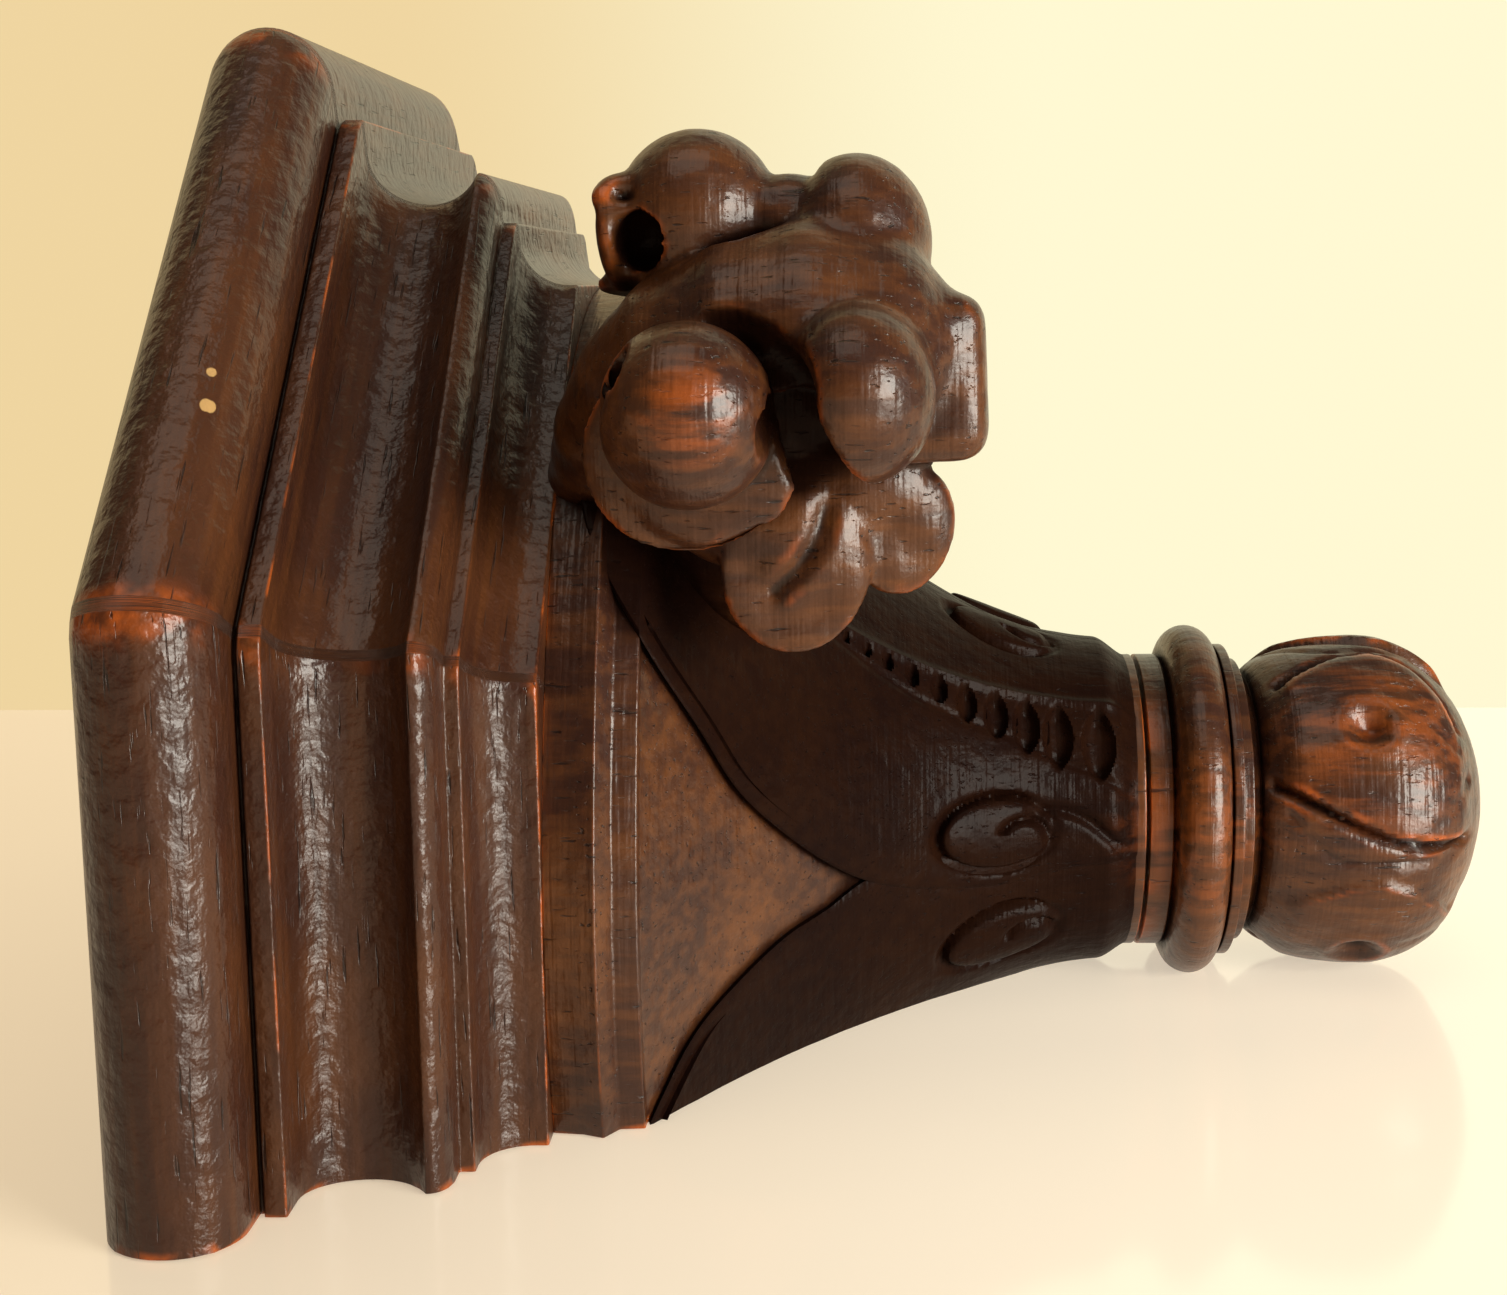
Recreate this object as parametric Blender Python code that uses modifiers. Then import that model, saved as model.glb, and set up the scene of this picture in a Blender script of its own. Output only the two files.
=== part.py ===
"""Carved oak wall shelf: a moulded five-sided shelf on a round carved bell with a turned finial.

Metres, +Z up.  The wall is the plane Y = 0 and the shelf stands out from it towards -Y.
The origin is on the wall, in the middle of the shelf moulding's flat back.
"""
import math

import bmesh
import bpy
from mathutils import Matrix, Vector

# Plan: a regular octagon round the axis, cut off flat by the wall
AXIS_TO_WALL = 0.0317
SIDES = 8

# Shelf moulding, top to bottom; a reach is measured from the axis square to a side
SHELF_REACH = 0.1420
BULLNOSE_THICKNESS = 0.0200
QUIRK_DEPTH = 0.0012
QUIRK_HEIGHT = 0.0008
UPPER_FILLET_REACH = 0.1275
UPPER_FILLET_HEIGHT = 0.0034
UPPER_COVE_REACH = 0.1216
UPPER_COVE_DEPTH = 0.0079
UPPER_COVE_HEIGHT = 0.0178
UPPER_COVE_DEEPEST = 0.55
BEAD_REACH = 0.1188
BEAD_HEIGHT = 0.0040
BEAD_DROP = 0.0051
BEAD_PROUD = 0.0008
BEAD_FLAT = 0.0005
LOWER_FILLET_REACH = 0.1105
LOWER_FILLET_HEIGHT = 0.0024
LOWER_COVE_REACH = 0.1080
LOWER_COVE_HEIGHT = 0.0080
END_FILLET_REACH = 0.1000
END_FILLET_HEIGHT = 0.0016
ARC_STEPS = 8
MERGE_DISTANCE = 0.00001

# Gap between touching pieces
JOINT_GAP = 0.0003

# Bell body: a drum, a ridge, a fillet and a hollow trumpet down to the neck
DRUM_RADIUS = 0.1000
DRUM_HEIGHT = 0.0083
RIDGE_PROUD = 0.0020
RIDGE_SLOPE = 0.0022
RIDGE_FOOT = 0.0004
BAND_SETBACK = 0.0020
BAND_HEIGHT = 0.0062
BELL_STEP = 0.0022
BELL_HEIGHT = 0.0860
BELL_HOLLOW = 2.25
NECK_RADIUS = 0.0281
BELL_STEPS = 14
TURNED_SIDES = 48
FIRST_FACET = math.radians(3.1)

# Carved leaves, angles in degrees from the side of the shelf towards its front
HEADED_LEAF_ANGLE = 45.0
WALL_LEAF_ANGLE = -45.0
HEADED_LEAF_SPREAD = 48.0
HEADED_LEAF_OPENING = 1.25
WALL_LEAF_TOP_SPREAD = 27.5
VOLUTE_SPREAD = 10.0
LEAF_MEET_DEPTH = 0.0500
VOLUTE_DEPTH = 0.0740
VOLUTE_REACH = 0.0140
LEAF_LEAST_SPREAD = 3.0
LEAF_EDGE = 0.0024
LEAF_RIDGE = 0.0042
LEAF_ROOT = 0.0020
LEAF_START = 0.0020
LEAF_SINK = 0.0004
LEAF_FADE = 0.0060
LEAF_END_GAP = 0.0006
WALL_LEAF_RELIEF = 0.8
LEAF_ROWS = 16
LEAF_COLUMNS = 8
EYE_RADIUS = 0.0056
EYE_OUTER_TURN = 38.0
EYE_INNER_TURN = 33.0
EYE_PROUD = 0.0022
EYE_RINGS = 6

# Curled head of the leaf: places and half-sizes of its lobes, as depth below
# the drum's top, reach from the axis and offset to each side of the leaf
HEAD_LOBES = {
    "core": ((0.0360, 0.1100, 0.0), (0.0270, 0.0300, 0.0240), 5.0),
    "strap": ((0.0320, 0.1320, 0.0), (0.0330, 0.0150, 0.0140), -4.0),
    "tip": ((0.0590, 0.1200, 0.0), (0.0100, 0.0200, 0.0130), 8.0),
    "crown": ((0.0249, 0.1337, 0.0213), (0.0135, 0.0135, 0.0130), 0.0),
    "collar": ((0.0225, 0.1240, 0.0225), (0.0150, 0.0180, 0.0075), 0.0),
    "curl": ((0.0500, 0.1350, 0.0171), (0.0100, 0.0125, 0.0100), 25.0),
    "side_lobe": ((0.0410, 0.0950, 0.0240), (0.0110, 0.0150, 0.0065), -12.0),
    "lower_lobe": ((0.0560, 0.1060, 0.0190), (0.0075, 0.0110, 0.0065), 20.0),
}
LOBE_SEGMENTS = 12
LOBE_RINGS = 9
STALK_RADIUS = 0.0150
STALK_FLARE = 1.25
STALK_LENGTH = 0.0400
STALK_SUNK = 0.0120
STALK_RISE = 0.0080

# Turned finial
FINIAL_BAND_HEIGHT = 0.0042
FINIAL_QUIRK = 0.0010
FINIAL_QUIRK_HEIGHT = 0.0008
FINIAL_SLOPE = 0.0003
RING_RADIUS = 0.0337
RING_THICKNESS = 0.0096
COLLAR_RADIUS = 0.0300
COLLAR_HEIGHT = 0.0022
LOWER_COLLAR_RADIUS = 0.0272
THROAT_RADIUS = 0.0240
THROAT_HEIGHT = 0.0018
THROAT_STEPS = 3
BUD_RADIUS = 0.0315
BUD_SHOULDER = 0.0215
BUD_BELLY = 0.0230
BUD_STEPS = 6
PETALS = 4
PETAL_GROOVE = 0.0016
PETAL_GROOVE_WIDTH = 0.20
PETAL_TWIST = 0.55
PETAL_START = 0.98
PETAL_CENTRE = 0.5
FINIAL_SIDES = 36

# Wall cutter
CUTTER_SIZE = 0.6

WOOD_COLOUR = (0.060, 0.018, 0.010, 1.0)
WOOD_ROUGHNESS = 0.28


def clear_scene():
    for old in list(bpy.data.objects):
        bpy.data.objects.remove(old, do_unlink=True)


def make_collection(name):
    collection = bpy.data.collections.new(name)
    bpy.context.scene.collection.children.link(collection)
    return collection


def make_wood(name):
    wood = bpy.data.materials.new(name)
    wood.use_nodes = True
    shader = wood.node_tree.nodes["Principled BSDF"]
    shader.inputs["Base Color"].default_value = WOOD_COLOUR
    shader.inputs["Roughness"].default_value = WOOD_ROUGHNESS
    shader.inputs["Metallic"].default_value = 0.0
    return wood


def add_object(name, mesh, collection, material=None):
    piece = bpy.data.objects.new(name, mesh)
    collection.objects.link(piece)
    if material is not None:
        mesh.materials.append(material)
    return piece


def mesh_from_bmesh(name, bm):
    bmesh.ops.recalc_face_normals(bm, faces=bm.faces)
    mesh = bpy.data.meshes.new(name)
    bm.to_mesh(mesh)
    bm.free()
    return mesh


def quarter(start, end, turn_first, steps=ARC_STEPS):
    """Quarter ellipse from start to end, given as (reach, drop), leaving along the reach or the drop."""
    points = []
    for step in range(1, steps + 1):
        angle = 0.5 * math.pi * step / steps
        across, along = (math.sin(angle), 1.0 - math.cos(angle))
        if not turn_first:
            across, along = along, across
        points.append((start[0] + (end[0] - start[0]) * across,
                       start[1] + (end[1] - start[1]) * along))
    return points


def shelf_profile():
    """Outline of the moulding as (reach, drop below the top), from the axis round to the axis."""
    radius = 0.5 * BULLNOSE_THICKNESS
    nose = SHELF_REACH - radius
    points = [(0.0, 0.0), (nose, 0.0)]
    for step in range(1, 2 * ARC_STEPS + 1):
        angle = math.pi * step / (2 * ARC_STEPS)
        points.append((nose + radius * math.sin(angle), radius - radius * math.cos(angle)))
    drop = BULLNOSE_THICKNESS
    quirk = UPPER_FILLET_REACH - QUIRK_DEPTH
    points += [(quirk, drop), (quirk, drop + QUIRK_HEIGHT), (UPPER_FILLET_REACH, drop + QUIRK_HEIGHT)]
    drop += QUIRK_HEIGHT + UPPER_FILLET_HEIGHT
    points += [(UPPER_FILLET_REACH, drop), (UPPER_COVE_REACH, drop)]
    cove_floor = UPPER_COVE_REACH - UPPER_COVE_DEPTH
    middle = drop + UPPER_COVE_DEEPEST * UPPER_COVE_HEIGHT
    points += quarter((UPPER_COVE_REACH, drop), (cove_floor, middle), True)
    drop += UPPER_COVE_HEIGHT
    rise = BEAD_REACH - BEAD_PROUD - cove_floor
    run = drop - middle
    sweep = (run * run + rise * rise) / (2.0 * rise)
    for step in range(1, ARC_STEPS + 1):
        along = run * step / ARC_STEPS
        points.append((cove_floor + sweep - math.sqrt(sweep * sweep - along * along), middle + along))
    bead_foot = BEAD_REACH - BEAD_DROP
    points += [(BEAD_REACH, drop + BEAD_FLAT)]
    points += quarter((BEAD_REACH, drop + BEAD_FLAT), (bead_foot, drop + BEAD_HEIGHT), False, ARC_STEPS // 2)
    drop += BEAD_HEIGHT
    points += [(LOWER_FILLET_REACH, drop)]
    drop += LOWER_FILLET_HEIGHT
    points += [(LOWER_FILLET_REACH, drop), (LOWER_COVE_REACH, drop)]
    points += quarter((LOWER_COVE_REACH, drop), (END_FILLET_REACH, drop + LOWER_COVE_HEIGHT), True)
    drop += LOWER_COVE_HEIGHT + END_FILLET_HEIGHT
    points += [(END_FILLET_REACH, drop), (0.0, drop)]
    return points


SHELF_HEIGHT = (BULLNOSE_THICKNESS + QUIRK_HEIGHT + UPPER_FILLET_HEIGHT + UPPER_COVE_HEIGHT + BEAD_HEIGHT
                + LOWER_FILLET_HEIGHT + LOWER_COVE_HEIGHT + END_FILLET_HEIGHT)
SHELF_TOP = 0.5 * SHELF_HEIGHT
BODY_TOP = SHELF_TOP - SHELF_HEIGHT - JOINT_GAP
BELL_TOP_DROP = DRUM_HEIGHT + BAND_HEIGHT
BODY_HEIGHT = BELL_TOP_DROP + BELL_HEIGHT
FINIAL_TOP = BODY_TOP - BODY_HEIGHT - JOINT_GAP
BELL_RADIUS = DRUM_RADIUS - BAND_SETBACK - BELL_STEP


def turn(name, profile, top, sides, start_angle, stretch=1.0):
    """Revolve a (radius, drop) outline, listed from its top down, round the axis."""
    mesh = bpy.data.meshes.new(name)
    bm = bmesh.new()
    rim = [bm.verts.new((radius * stretch, 0.0, top - drop)) for radius, drop in profile]
    for above, below in zip(rim, rim[1:]):
        bm.edges.new((above, below))
    bmesh.ops.rotate(bm, cent=(0.0, 0.0, 0.0), matrix=Matrix.Rotation(start_angle, 3, "Z"), verts=bm.verts)
    bmesh.ops.spin(bm, geom=bm.verts[:] + bm.edges[:], cent=(0.0, 0.0, 0.0), axis=(0.0, 0.0, 1.0),
                   angle=2.0 * math.pi, steps=sides, use_merge=True)
    bmesh.ops.remove_doubles(bm, verts=bm.verts, dist=MERGE_DISTANCE)
    bmesh.ops.translate(bm, vec=(0.0, -AXIS_TO_WALL, 0.0), verts=bm.verts)
    bmesh.ops.recalc_face_normals(bm, faces=bm.faces)
    bm.to_mesh(mesh)
    bm.free()
    return mesh


def cut_at_wall(piece, wall):
    cut = piece.modifiers.new("wall", "BOOLEAN")
    cut.operation = "DIFFERENCE"
    cut.solver = "EXACT"
    cut.object = wall


def make_wall_cutter(collection):
    bm = bmesh.new()
    place = Matrix.Translation((0.0, 0.5 * CUTTER_SIZE, 0.0)) @ Matrix.Diagonal((CUTTER_SIZE,) * 3 + (1.0,))
    bmesh.ops.create_cube(bm, size=1.0, matrix=place)
    wall = add_object("wall_cutter", mesh_from_bmesh("wall_cutter", bm), collection)
    wall.hide_render = True
    wall.display_type = "WIRE"
    return wall


def make_shelf(collection, wood, wall):
    corner = 1.0 / math.cos(math.pi / SIDES)
    mesh = turn("moulded_shelf", shelf_profile(), SHELF_TOP, SIDES, math.pi / SIDES, corner)
    shelf = add_object("moulded_shelf", mesh, collection, wood)
    cut_at_wall(shelf, wall)
    return shelf


def bell_radius(drop):
    """Radius of the plain bell at a drop below the body's top."""
    share = min(max((drop - BELL_TOP_DROP) / BELL_HEIGHT, 0.0), 1.0)
    return NECK_RADIUS + (BELL_RADIUS - NECK_RADIUS) * (1.0 - share) ** BELL_HOLLOW


def body_surface(drop):
    """Radius that the carving lies on: the bell, or the drum above it."""
    if drop >= BELL_TOP_DROP:
        return bell_radius(drop)
    return BELL_RADIUS + (DRUM_RADIUS - BELL_RADIUS) * (1.0 - drop / BELL_TOP_DROP)


def body_profile():
    ridge = DRUM_RADIUS + RIDGE_PROUD
    band = DRUM_RADIUS - BAND_SETBACK
    points = [(0.0, 0.0), (DRUM_RADIUS, 0.0), (ridge, DRUM_HEIGHT), (band + RIDGE_FOOT, DRUM_HEIGHT + RIDGE_SLOPE),
              (band, BELL_TOP_DROP), (BELL_RADIUS, BELL_TOP_DROP)]
    for step in range(1, BELL_STEPS + 1):
        drop = BELL_TOP_DROP + BELL_HEIGHT * step / BELL_STEPS
        points.append((bell_radius(drop), drop))
    points.append((0.0, BODY_HEIGHT))
    return points


def on_axis(drop, radius, angle):
    """Point on the -X half, at an angle in degrees from the shelf's side round to its front."""
    turned = math.radians(angle)
    return Vector((-radius * math.cos(turned), -AXIS_TO_WALL - radius * math.sin(turned), BODY_TOP - drop))


def headed_leaf_spread(drop):
    opening = min(drop / LEAF_MEET_DEPTH, 1.0)
    spread = HEADED_LEAF_SPREAD * (1.0 - (1.0 - opening) ** HEADED_LEAF_OPENING)
    swell = math.exp(-((drop - VOLUTE_DEPTH) / VOLUTE_REACH) ** 2)
    return max(spread, LEAF_LEAST_SPREAD) + VOLUTE_SPREAD * swell


def wall_leaf_spread(drop):
    opening = min(max((drop - BELL_TOP_DROP) / (LEAF_MEET_DEPTH - BELL_TOP_DROP), 0.0), 1.0)
    return WALL_LEAF_TOP_SPREAD + (HEADED_LEAF_SPREAD - WALL_LEAF_TOP_SPREAD) * opening


def leaf_mesh(name, middle, spread, first_drop, proud):
    """A leaf in low relief: a slab that follows the bell, thicker along its midrib."""
    last_drop = BODY_HEIGHT - LEAF_END_GAP
    bm = bmesh.new()
    layers = []
    for outer in (True, False):
        rows = []
        for row in range(LEAF_ROWS + 1):
            drop = first_drop + (last_drop - first_drop) * row / LEAF_ROWS
            half = spread(drop)
            fade = min((last_drop - drop) / LEAF_FADE, 1.0)
            line = []
            for column in range(LEAF_COLUMNS + 1):
                across = 2.0 * column / LEAF_COLUMNS - 1.0
                radius = body_surface(drop)
                if outer:
                    rib = (LEAF_RIDGE - LEAF_EDGE) * (1.0 - abs(across)) ** 2
                    radius += (LEAF_EDGE + rib) * proud * fade - LEAF_SINK * (1.0 - fade)
                else:
                    radius -= LEAF_ROOT
                line.append(bm.verts.new(on_axis(drop, radius, middle + half * across)))
            rows.append(line)
        layers.append(rows)
    top, under = layers
    for rows, flip in ((top, False), (under, True)):
        for upper, lower in zip(rows, rows[1:]):
            for column in range(LEAF_COLUMNS):
                ring = [upper[column], upper[column + 1], lower[column + 1], lower[column]]
                bm.faces.new(ring[::-1] if flip else ring)
    edge_loops = [(top[0], under[0]), (top[-1], under[-1]),
                  ([line[0] for line in top], [line[0] for line in under]),
                  ([line[-1] for line in top], [line[-1] for line in under])]
    for outer_line, inner_line in edge_loops:
        for place in range(len(outer_line) - 1):
            bm.faces.new((outer_line[place], outer_line[place + 1], inner_line[place + 1], inner_line[place]))
    return mesh_from_bmesh(name, bm)


def leaf_frame():
    """Axes of the headed leaf: down the bell, out from the axis, and across towards the front."""
    turned = math.radians(HEADED_LEAF_ANGLE)
    out = Vector((-math.cos(turned), -math.sin(turned), 0.0))
    across = Vector((math.sin(turned), -math.cos(turned), 0.0))
    return Vector((0.0, 0.0, -1.0)), out, across


def lobe_mesh(name, centre, half_sizes, tilt, hand):
    """One rounded lobe of the curled head: a stretched sphere, tilted in the leaf's own plane."""
    down, out, across = leaf_frame()
    turned = math.radians(tilt)
    long_axis = down * math.cos(turned) + out * math.sin(turned)
    deep_axis = out * math.cos(turned) - down * math.sin(turned)
    place = (Vector((0.0, -AXIS_TO_WALL, BODY_TOP)) + down * centre[0] + out * centre[1]
             + across * centre[2] * hand)
    grid = Matrix((long_axis * half_sizes[0], deep_axis * half_sizes[1], across * half_sizes[2])).transposed()
    bm = bmesh.new()
    bmesh.ops.create_uvsphere(bm, u_segments=LOBE_SEGMENTS, v_segments=LOBE_RINGS, radius=1.0,
                              matrix=Matrix.Translation(place) @ grid.to_4x4())
    return mesh_from_bmesh(name, bm)


def eye_mesh(name, hand):
    """Round eye of the volute, beside the foot of the headed leaf."""
    angle = HEADED_LEAF_ANGLE + (EYE_INNER_TURN if hand > 0 else -EYE_OUTER_TURN)
    radius = bell_radius(VOLUTE_DEPTH) + LEAF_EDGE
    centre = on_axis(VOLUTE_DEPTH, radius, angle)
    out = (centre - on_axis(VOLUTE_DEPTH, 0.0, angle)).normalized()
    down = Vector((0.0, 0.0, -1.0))
    grid = Matrix((down * EYE_RADIUS, out * EYE_PROUD, down.cross(out) * EYE_RADIUS)).transposed()
    bm = bmesh.new()
    bmesh.ops.create_uvsphere(bm, u_segments=LOBE_SEGMENTS, v_segments=EYE_RINGS, radius=1.0,
                              matrix=Matrix.Translation(centre) @ grid.to_4x4())
    return mesh_from_bmesh(name, bm)


def stalk_mesh(name):
    """Stalk that carries the head: a short fat cone from the bell out to the head's core."""
    down, out, across = leaf_frame()
    axis_point = Vector((0.0, -AXIS_TO_WALL, BODY_TOP))
    drop = HEAD_LOBES["core"][0][0] - STALK_RISE
    middle = axis_point + down * drop + out * (bell_radius(drop) + 0.5 * STALK_LENGTH - STALK_SUNK)
    grid = Matrix((across, down, out)).transposed()
    bm = bmesh.new()
    bmesh.ops.create_cone(bm, cap_ends=True, segments=LOBE_SEGMENTS - 1, radius1=STALK_RADIUS * STALK_FLARE,
                          radius2=STALK_RADIUS, depth=STALK_LENGTH,
                          matrix=Matrix.Translation(middle) @ grid.to_4x4())
    return mesh_from_bmesh(name, bm)


def join_carving(body, name, mesh, carving):
    extra = add_object(name, mesh, carving)
    extra.hide_render = True
    extra.display_type = "WIRE"
    union = body.modifiers.new(name, "BOOLEAN")
    union.operation = "UNION"
    union.solver = "EXACT"
    union.object = extra


def make_body(collection, carving, wood, wall):
    mesh = turn("carved_body", body_profile(), BODY_TOP, TURNED_SIDES, FIRST_FACET)
    body = add_object("carved_body", mesh, collection, wood)
    join_carving(body, "wall_leaf", leaf_mesh("wall_leaf", WALL_LEAF_ANGLE, wall_leaf_spread,
                                              BELL_TOP_DROP + LEAF_START, WALL_LEAF_RELIEF), carving)
    join_carving(body, "headed_leaf", leaf_mesh("headed_leaf", HEADED_LEAF_ANGLE, headed_leaf_spread,
                                                LEAF_START, 1.0), carving)
    join_carving(body, "stalk", stalk_mesh("stalk"), carving)
    for lobe, (centre, half_sizes, tilt) in HEAD_LOBES.items():
        for hand in ((-1, 1) if centre[2] > 0.0 else (1,)):
            name = lobe + ("_outer" if hand < 0 else "_inner")
            join_carving(body, name, lobe_mesh(name, centre, half_sizes, tilt, hand), carving)
    for hand in (-1, 1):
        name = "eye_outer" if hand < 0 else "eye_inner"
        join_carving(body, name, eye_mesh(name, hand), carving)
    mirror = body.modifiers.new("other_side", "MIRROR")
    mirror.use_axis = (True, False, False)
    mirror.use_bisect_axis = (True, False, False)
    mirror.use_bisect_flip_axis = (True, False, False)
    mirror.use_mirror_merge = True
    mirror.merge_threshold = 0.000005
    cut_at_wall(body, wall)
    return body


def finial_profile():
    """Outline of the finial as (radius, drop below its top), and the drop of the bud's widest line."""
    points = [(0.0, 0.0), (NECK_RADIUS, 0.0), (NECK_RADIUS, FINIAL_BAND_HEIGHT),
              (NECK_RADIUS - FINIAL_QUIRK, FINIAL_BAND_HEIGHT + FINIAL_SLOPE)]
    drop = FINIAL_BAND_HEIGHT + FINIAL_QUIRK_HEIGHT
    ring_radius = 0.5 * RING_THICKNESS
    centre = RING_RADIUS - ring_radius
    for step in range(0, ARC_STEPS + 1):
        angle = math.pi * step / ARC_STEPS
        points.append((centre + ring_radius * math.sin(angle),
                       drop + ring_radius - ring_radius * math.cos(angle)))
    drop += RING_THICKNESS
    points += [(COLLAR_RADIUS, drop + FINIAL_SLOPE), (COLLAR_RADIUS, drop + COLLAR_HEIGHT)]
    drop += COLLAR_HEIGHT
    points += [(LOWER_COLLAR_RADIUS, drop + FINIAL_SLOPE), (LOWER_COLLAR_RADIUS, drop + COLLAR_HEIGHT)]
    drop += COLLAR_HEIGHT
    points += quarter((LOWER_COLLAR_RADIUS, drop), (THROAT_RADIUS, drop + THROAT_HEIGHT), True, THROAT_STEPS)
    widest = drop + THROAT_HEIGHT + BUD_SHOULDER
    points += quarter((THROAT_RADIUS, drop + THROAT_HEIGHT), (BUD_RADIUS, widest), True, BUD_STEPS)
    points += quarter((BUD_RADIUS, widest), (0.0, widest + BUD_BELLY), False, BUD_STEPS)
    return points, widest


def carve_bud(mesh, widest):
    """Sink a curved groove between each petal of the bud and the next, fading out at both ends."""
    centre = Vector((0.0, -AXIS_TO_WALL, FINIAL_TOP - widest))
    for vertex in mesh.vertices:
        offset = vertex.co - centre
        level = offset.z / (BUD_SHOULDER if offset.z > 0.0 else BUD_BELLY)
        if level > PETAL_START or offset.length < PETAL_CENTRE * BUD_BELLY:
            continue
        angle = math.atan2(offset.y, offset.x)
        wave = abs(math.sin(0.5 * PETALS * (angle + PETAL_TWIST * level)))
        groove = PETAL_GROOVE * math.exp(-(wave / PETAL_GROOVE_WIDTH) ** 2)
        fade = math.sqrt(max(0.0, 1.0 - level * level))
        vertex.co = centre + offset * (1.0 - groove * fade / BUD_RADIUS)


def make_finial(collection, wood, wall):
    profile, widest = finial_profile()
    mesh = turn("turned_finial", profile, FINIAL_TOP, FINIAL_SIDES, FIRST_FACET)
    carve_bud(mesh, widest)
    finial = add_object("turned_finial", mesh, collection, wood)
    cut_at_wall(finial, wall)
    return finial


def main():
    clear_scene()
    shelf_parts = make_collection("carved_wall_shelf")
    cutters = make_collection("cutters")
    wood = make_wood("varnished_oak")
    wall = make_wall_cutter(cutters)
    make_shelf(shelf_parts, wood, wall)
    make_body(shelf_parts, cutters, wood, wall)
    make_finial(shelf_parts, wood, wall)


main()
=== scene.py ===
import math

import bpy
import numpy as np
from mathutils import Matrix, Vector, noise
from mathutils.bvhtree import BVHTree
from mathutils.kdtree import KDTree


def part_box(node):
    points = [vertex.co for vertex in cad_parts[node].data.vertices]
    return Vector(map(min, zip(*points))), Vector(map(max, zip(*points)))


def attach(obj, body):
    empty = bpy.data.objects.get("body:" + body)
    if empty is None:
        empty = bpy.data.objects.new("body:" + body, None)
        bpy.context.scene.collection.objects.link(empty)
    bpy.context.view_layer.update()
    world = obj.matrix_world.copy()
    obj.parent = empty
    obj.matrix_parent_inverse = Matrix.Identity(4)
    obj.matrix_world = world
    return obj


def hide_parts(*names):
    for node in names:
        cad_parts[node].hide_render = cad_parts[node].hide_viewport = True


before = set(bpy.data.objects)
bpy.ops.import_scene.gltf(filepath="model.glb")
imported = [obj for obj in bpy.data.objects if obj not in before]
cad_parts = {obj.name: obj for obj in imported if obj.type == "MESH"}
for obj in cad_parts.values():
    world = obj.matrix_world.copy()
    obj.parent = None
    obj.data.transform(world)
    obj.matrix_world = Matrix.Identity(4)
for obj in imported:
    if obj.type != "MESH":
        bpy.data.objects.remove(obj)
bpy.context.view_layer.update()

mm = 0.001
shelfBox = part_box("moulded_shelf")
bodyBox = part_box("carved_body")
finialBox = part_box("turned_finial")
axisY = finialBox[0].y + 33.7 * mm      # the turning axis, one ring radius behind the ring's front
bodyTop = bodyBox[1].z
bodyHeight = bodyBox[1].z - bodyBox[0].z


def selectOnly(piece):
    bpy.ops.object.select_all(action="DESELECT")
    piece.select_set(True)
    bpy.context.view_layer.objects.active = piece


def newPiece(name):
    piece = bpy.context.object
    piece.name = name
    piece.data.name = name
    return piece


def getPoints(piece):
    flat = np.empty(len(piece.data.vertices) * 3)
    piece.data.vertices.foreach_get("co", flat)
    return flat.reshape(-1, 3)


def getNormals(piece):
    flat = np.empty(len(piece.data.vertices) * 3)
    piece.data.vertices.foreach_get("normal", flat)
    return flat.reshape(-1, 3)


def setPoints(piece, points):
    piece.data.vertices.foreach_set("co", np.ascontiguousarray(points).ravel())
    piece.data.update()


def roughness(points, size, seed):
    # soft lumps between -1 and 1, one for each point
    shift = Vector((seed, seed * 0.37, -seed))
    return np.array([noise.noise(Vector(p) / size + shift) for p in points])


def applyModifier(piece, kind, **settings):
    selectOnly(piece)
    bpy.ops.object.modifier_add(type=kind)
    modifier = piece.modifiers[-1]
    for key, value in settings.items():
        setattr(modifier, key, value)
    bpy.ops.object.modifier_apply(modifier=modifier.name)


def faceOutwards(piece):
    selectOnly(piece)
    bpy.ops.object.mode_set(mode="EDIT")
    bpy.ops.mesh.select_all(action="SELECT")
    bpy.ops.mesh.normals_make_consistent(inside=False)
    bpy.ops.object.mode_set(mode="OBJECT")


def cutAtWall(piece):
    selectOnly(piece)
    bpy.ops.object.mode_set(mode="EDIT")
    bpy.ops.mesh.select_all(action="SELECT")
    bpy.ops.mesh.bisect(plane_co=(0.0, 0.0, 0.0), plane_no=(0.0, 1.0, 0.0), use_fill=True, clear_outer=True)
    bpy.ops.object.mode_set(mode="OBJECT")


# rays that measure how closed in each point is, for the painted shade in hollows
shadeProbe = {
    "reach": 0.022,          # how far a ray looks for more wood
    "rays": 10,
    "lowest": 0.9,           # the flattest ray, as a share of the way down from the normal
    "turn": 2.39996,         # turn from one ray to the next, in radians
    "lift": 0.0003,
    "softening": 3,
}


def neighbourMean(piece, values, times):
    # each value becomes the mean of itself and its neighbours, so many times over
    edges = np.empty(len(piece.data.edges) * 2, dtype=np.int64)
    piece.data.edges.foreach_get("vertices", edges)
    a, b = edges.reshape(-1, 2).T
    counts = np.bincount(np.concatenate((a, b)), minlength=len(values)) + 1.0
    if values.ndim > 1:
        counts = counts.reshape(-1, 1)
    for _ in range(times):
        total = values.copy()
        np.add.at(total, a, values[b])
        np.add.at(total, b, values[a])
        values = total / counts
    return values


def addMark(piece, name, values):
    attribute = piece.data.attributes.new(name, "FLOAT", "POINT")
    attribute.data.foreach_set("value", values.astype(np.float32))


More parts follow.
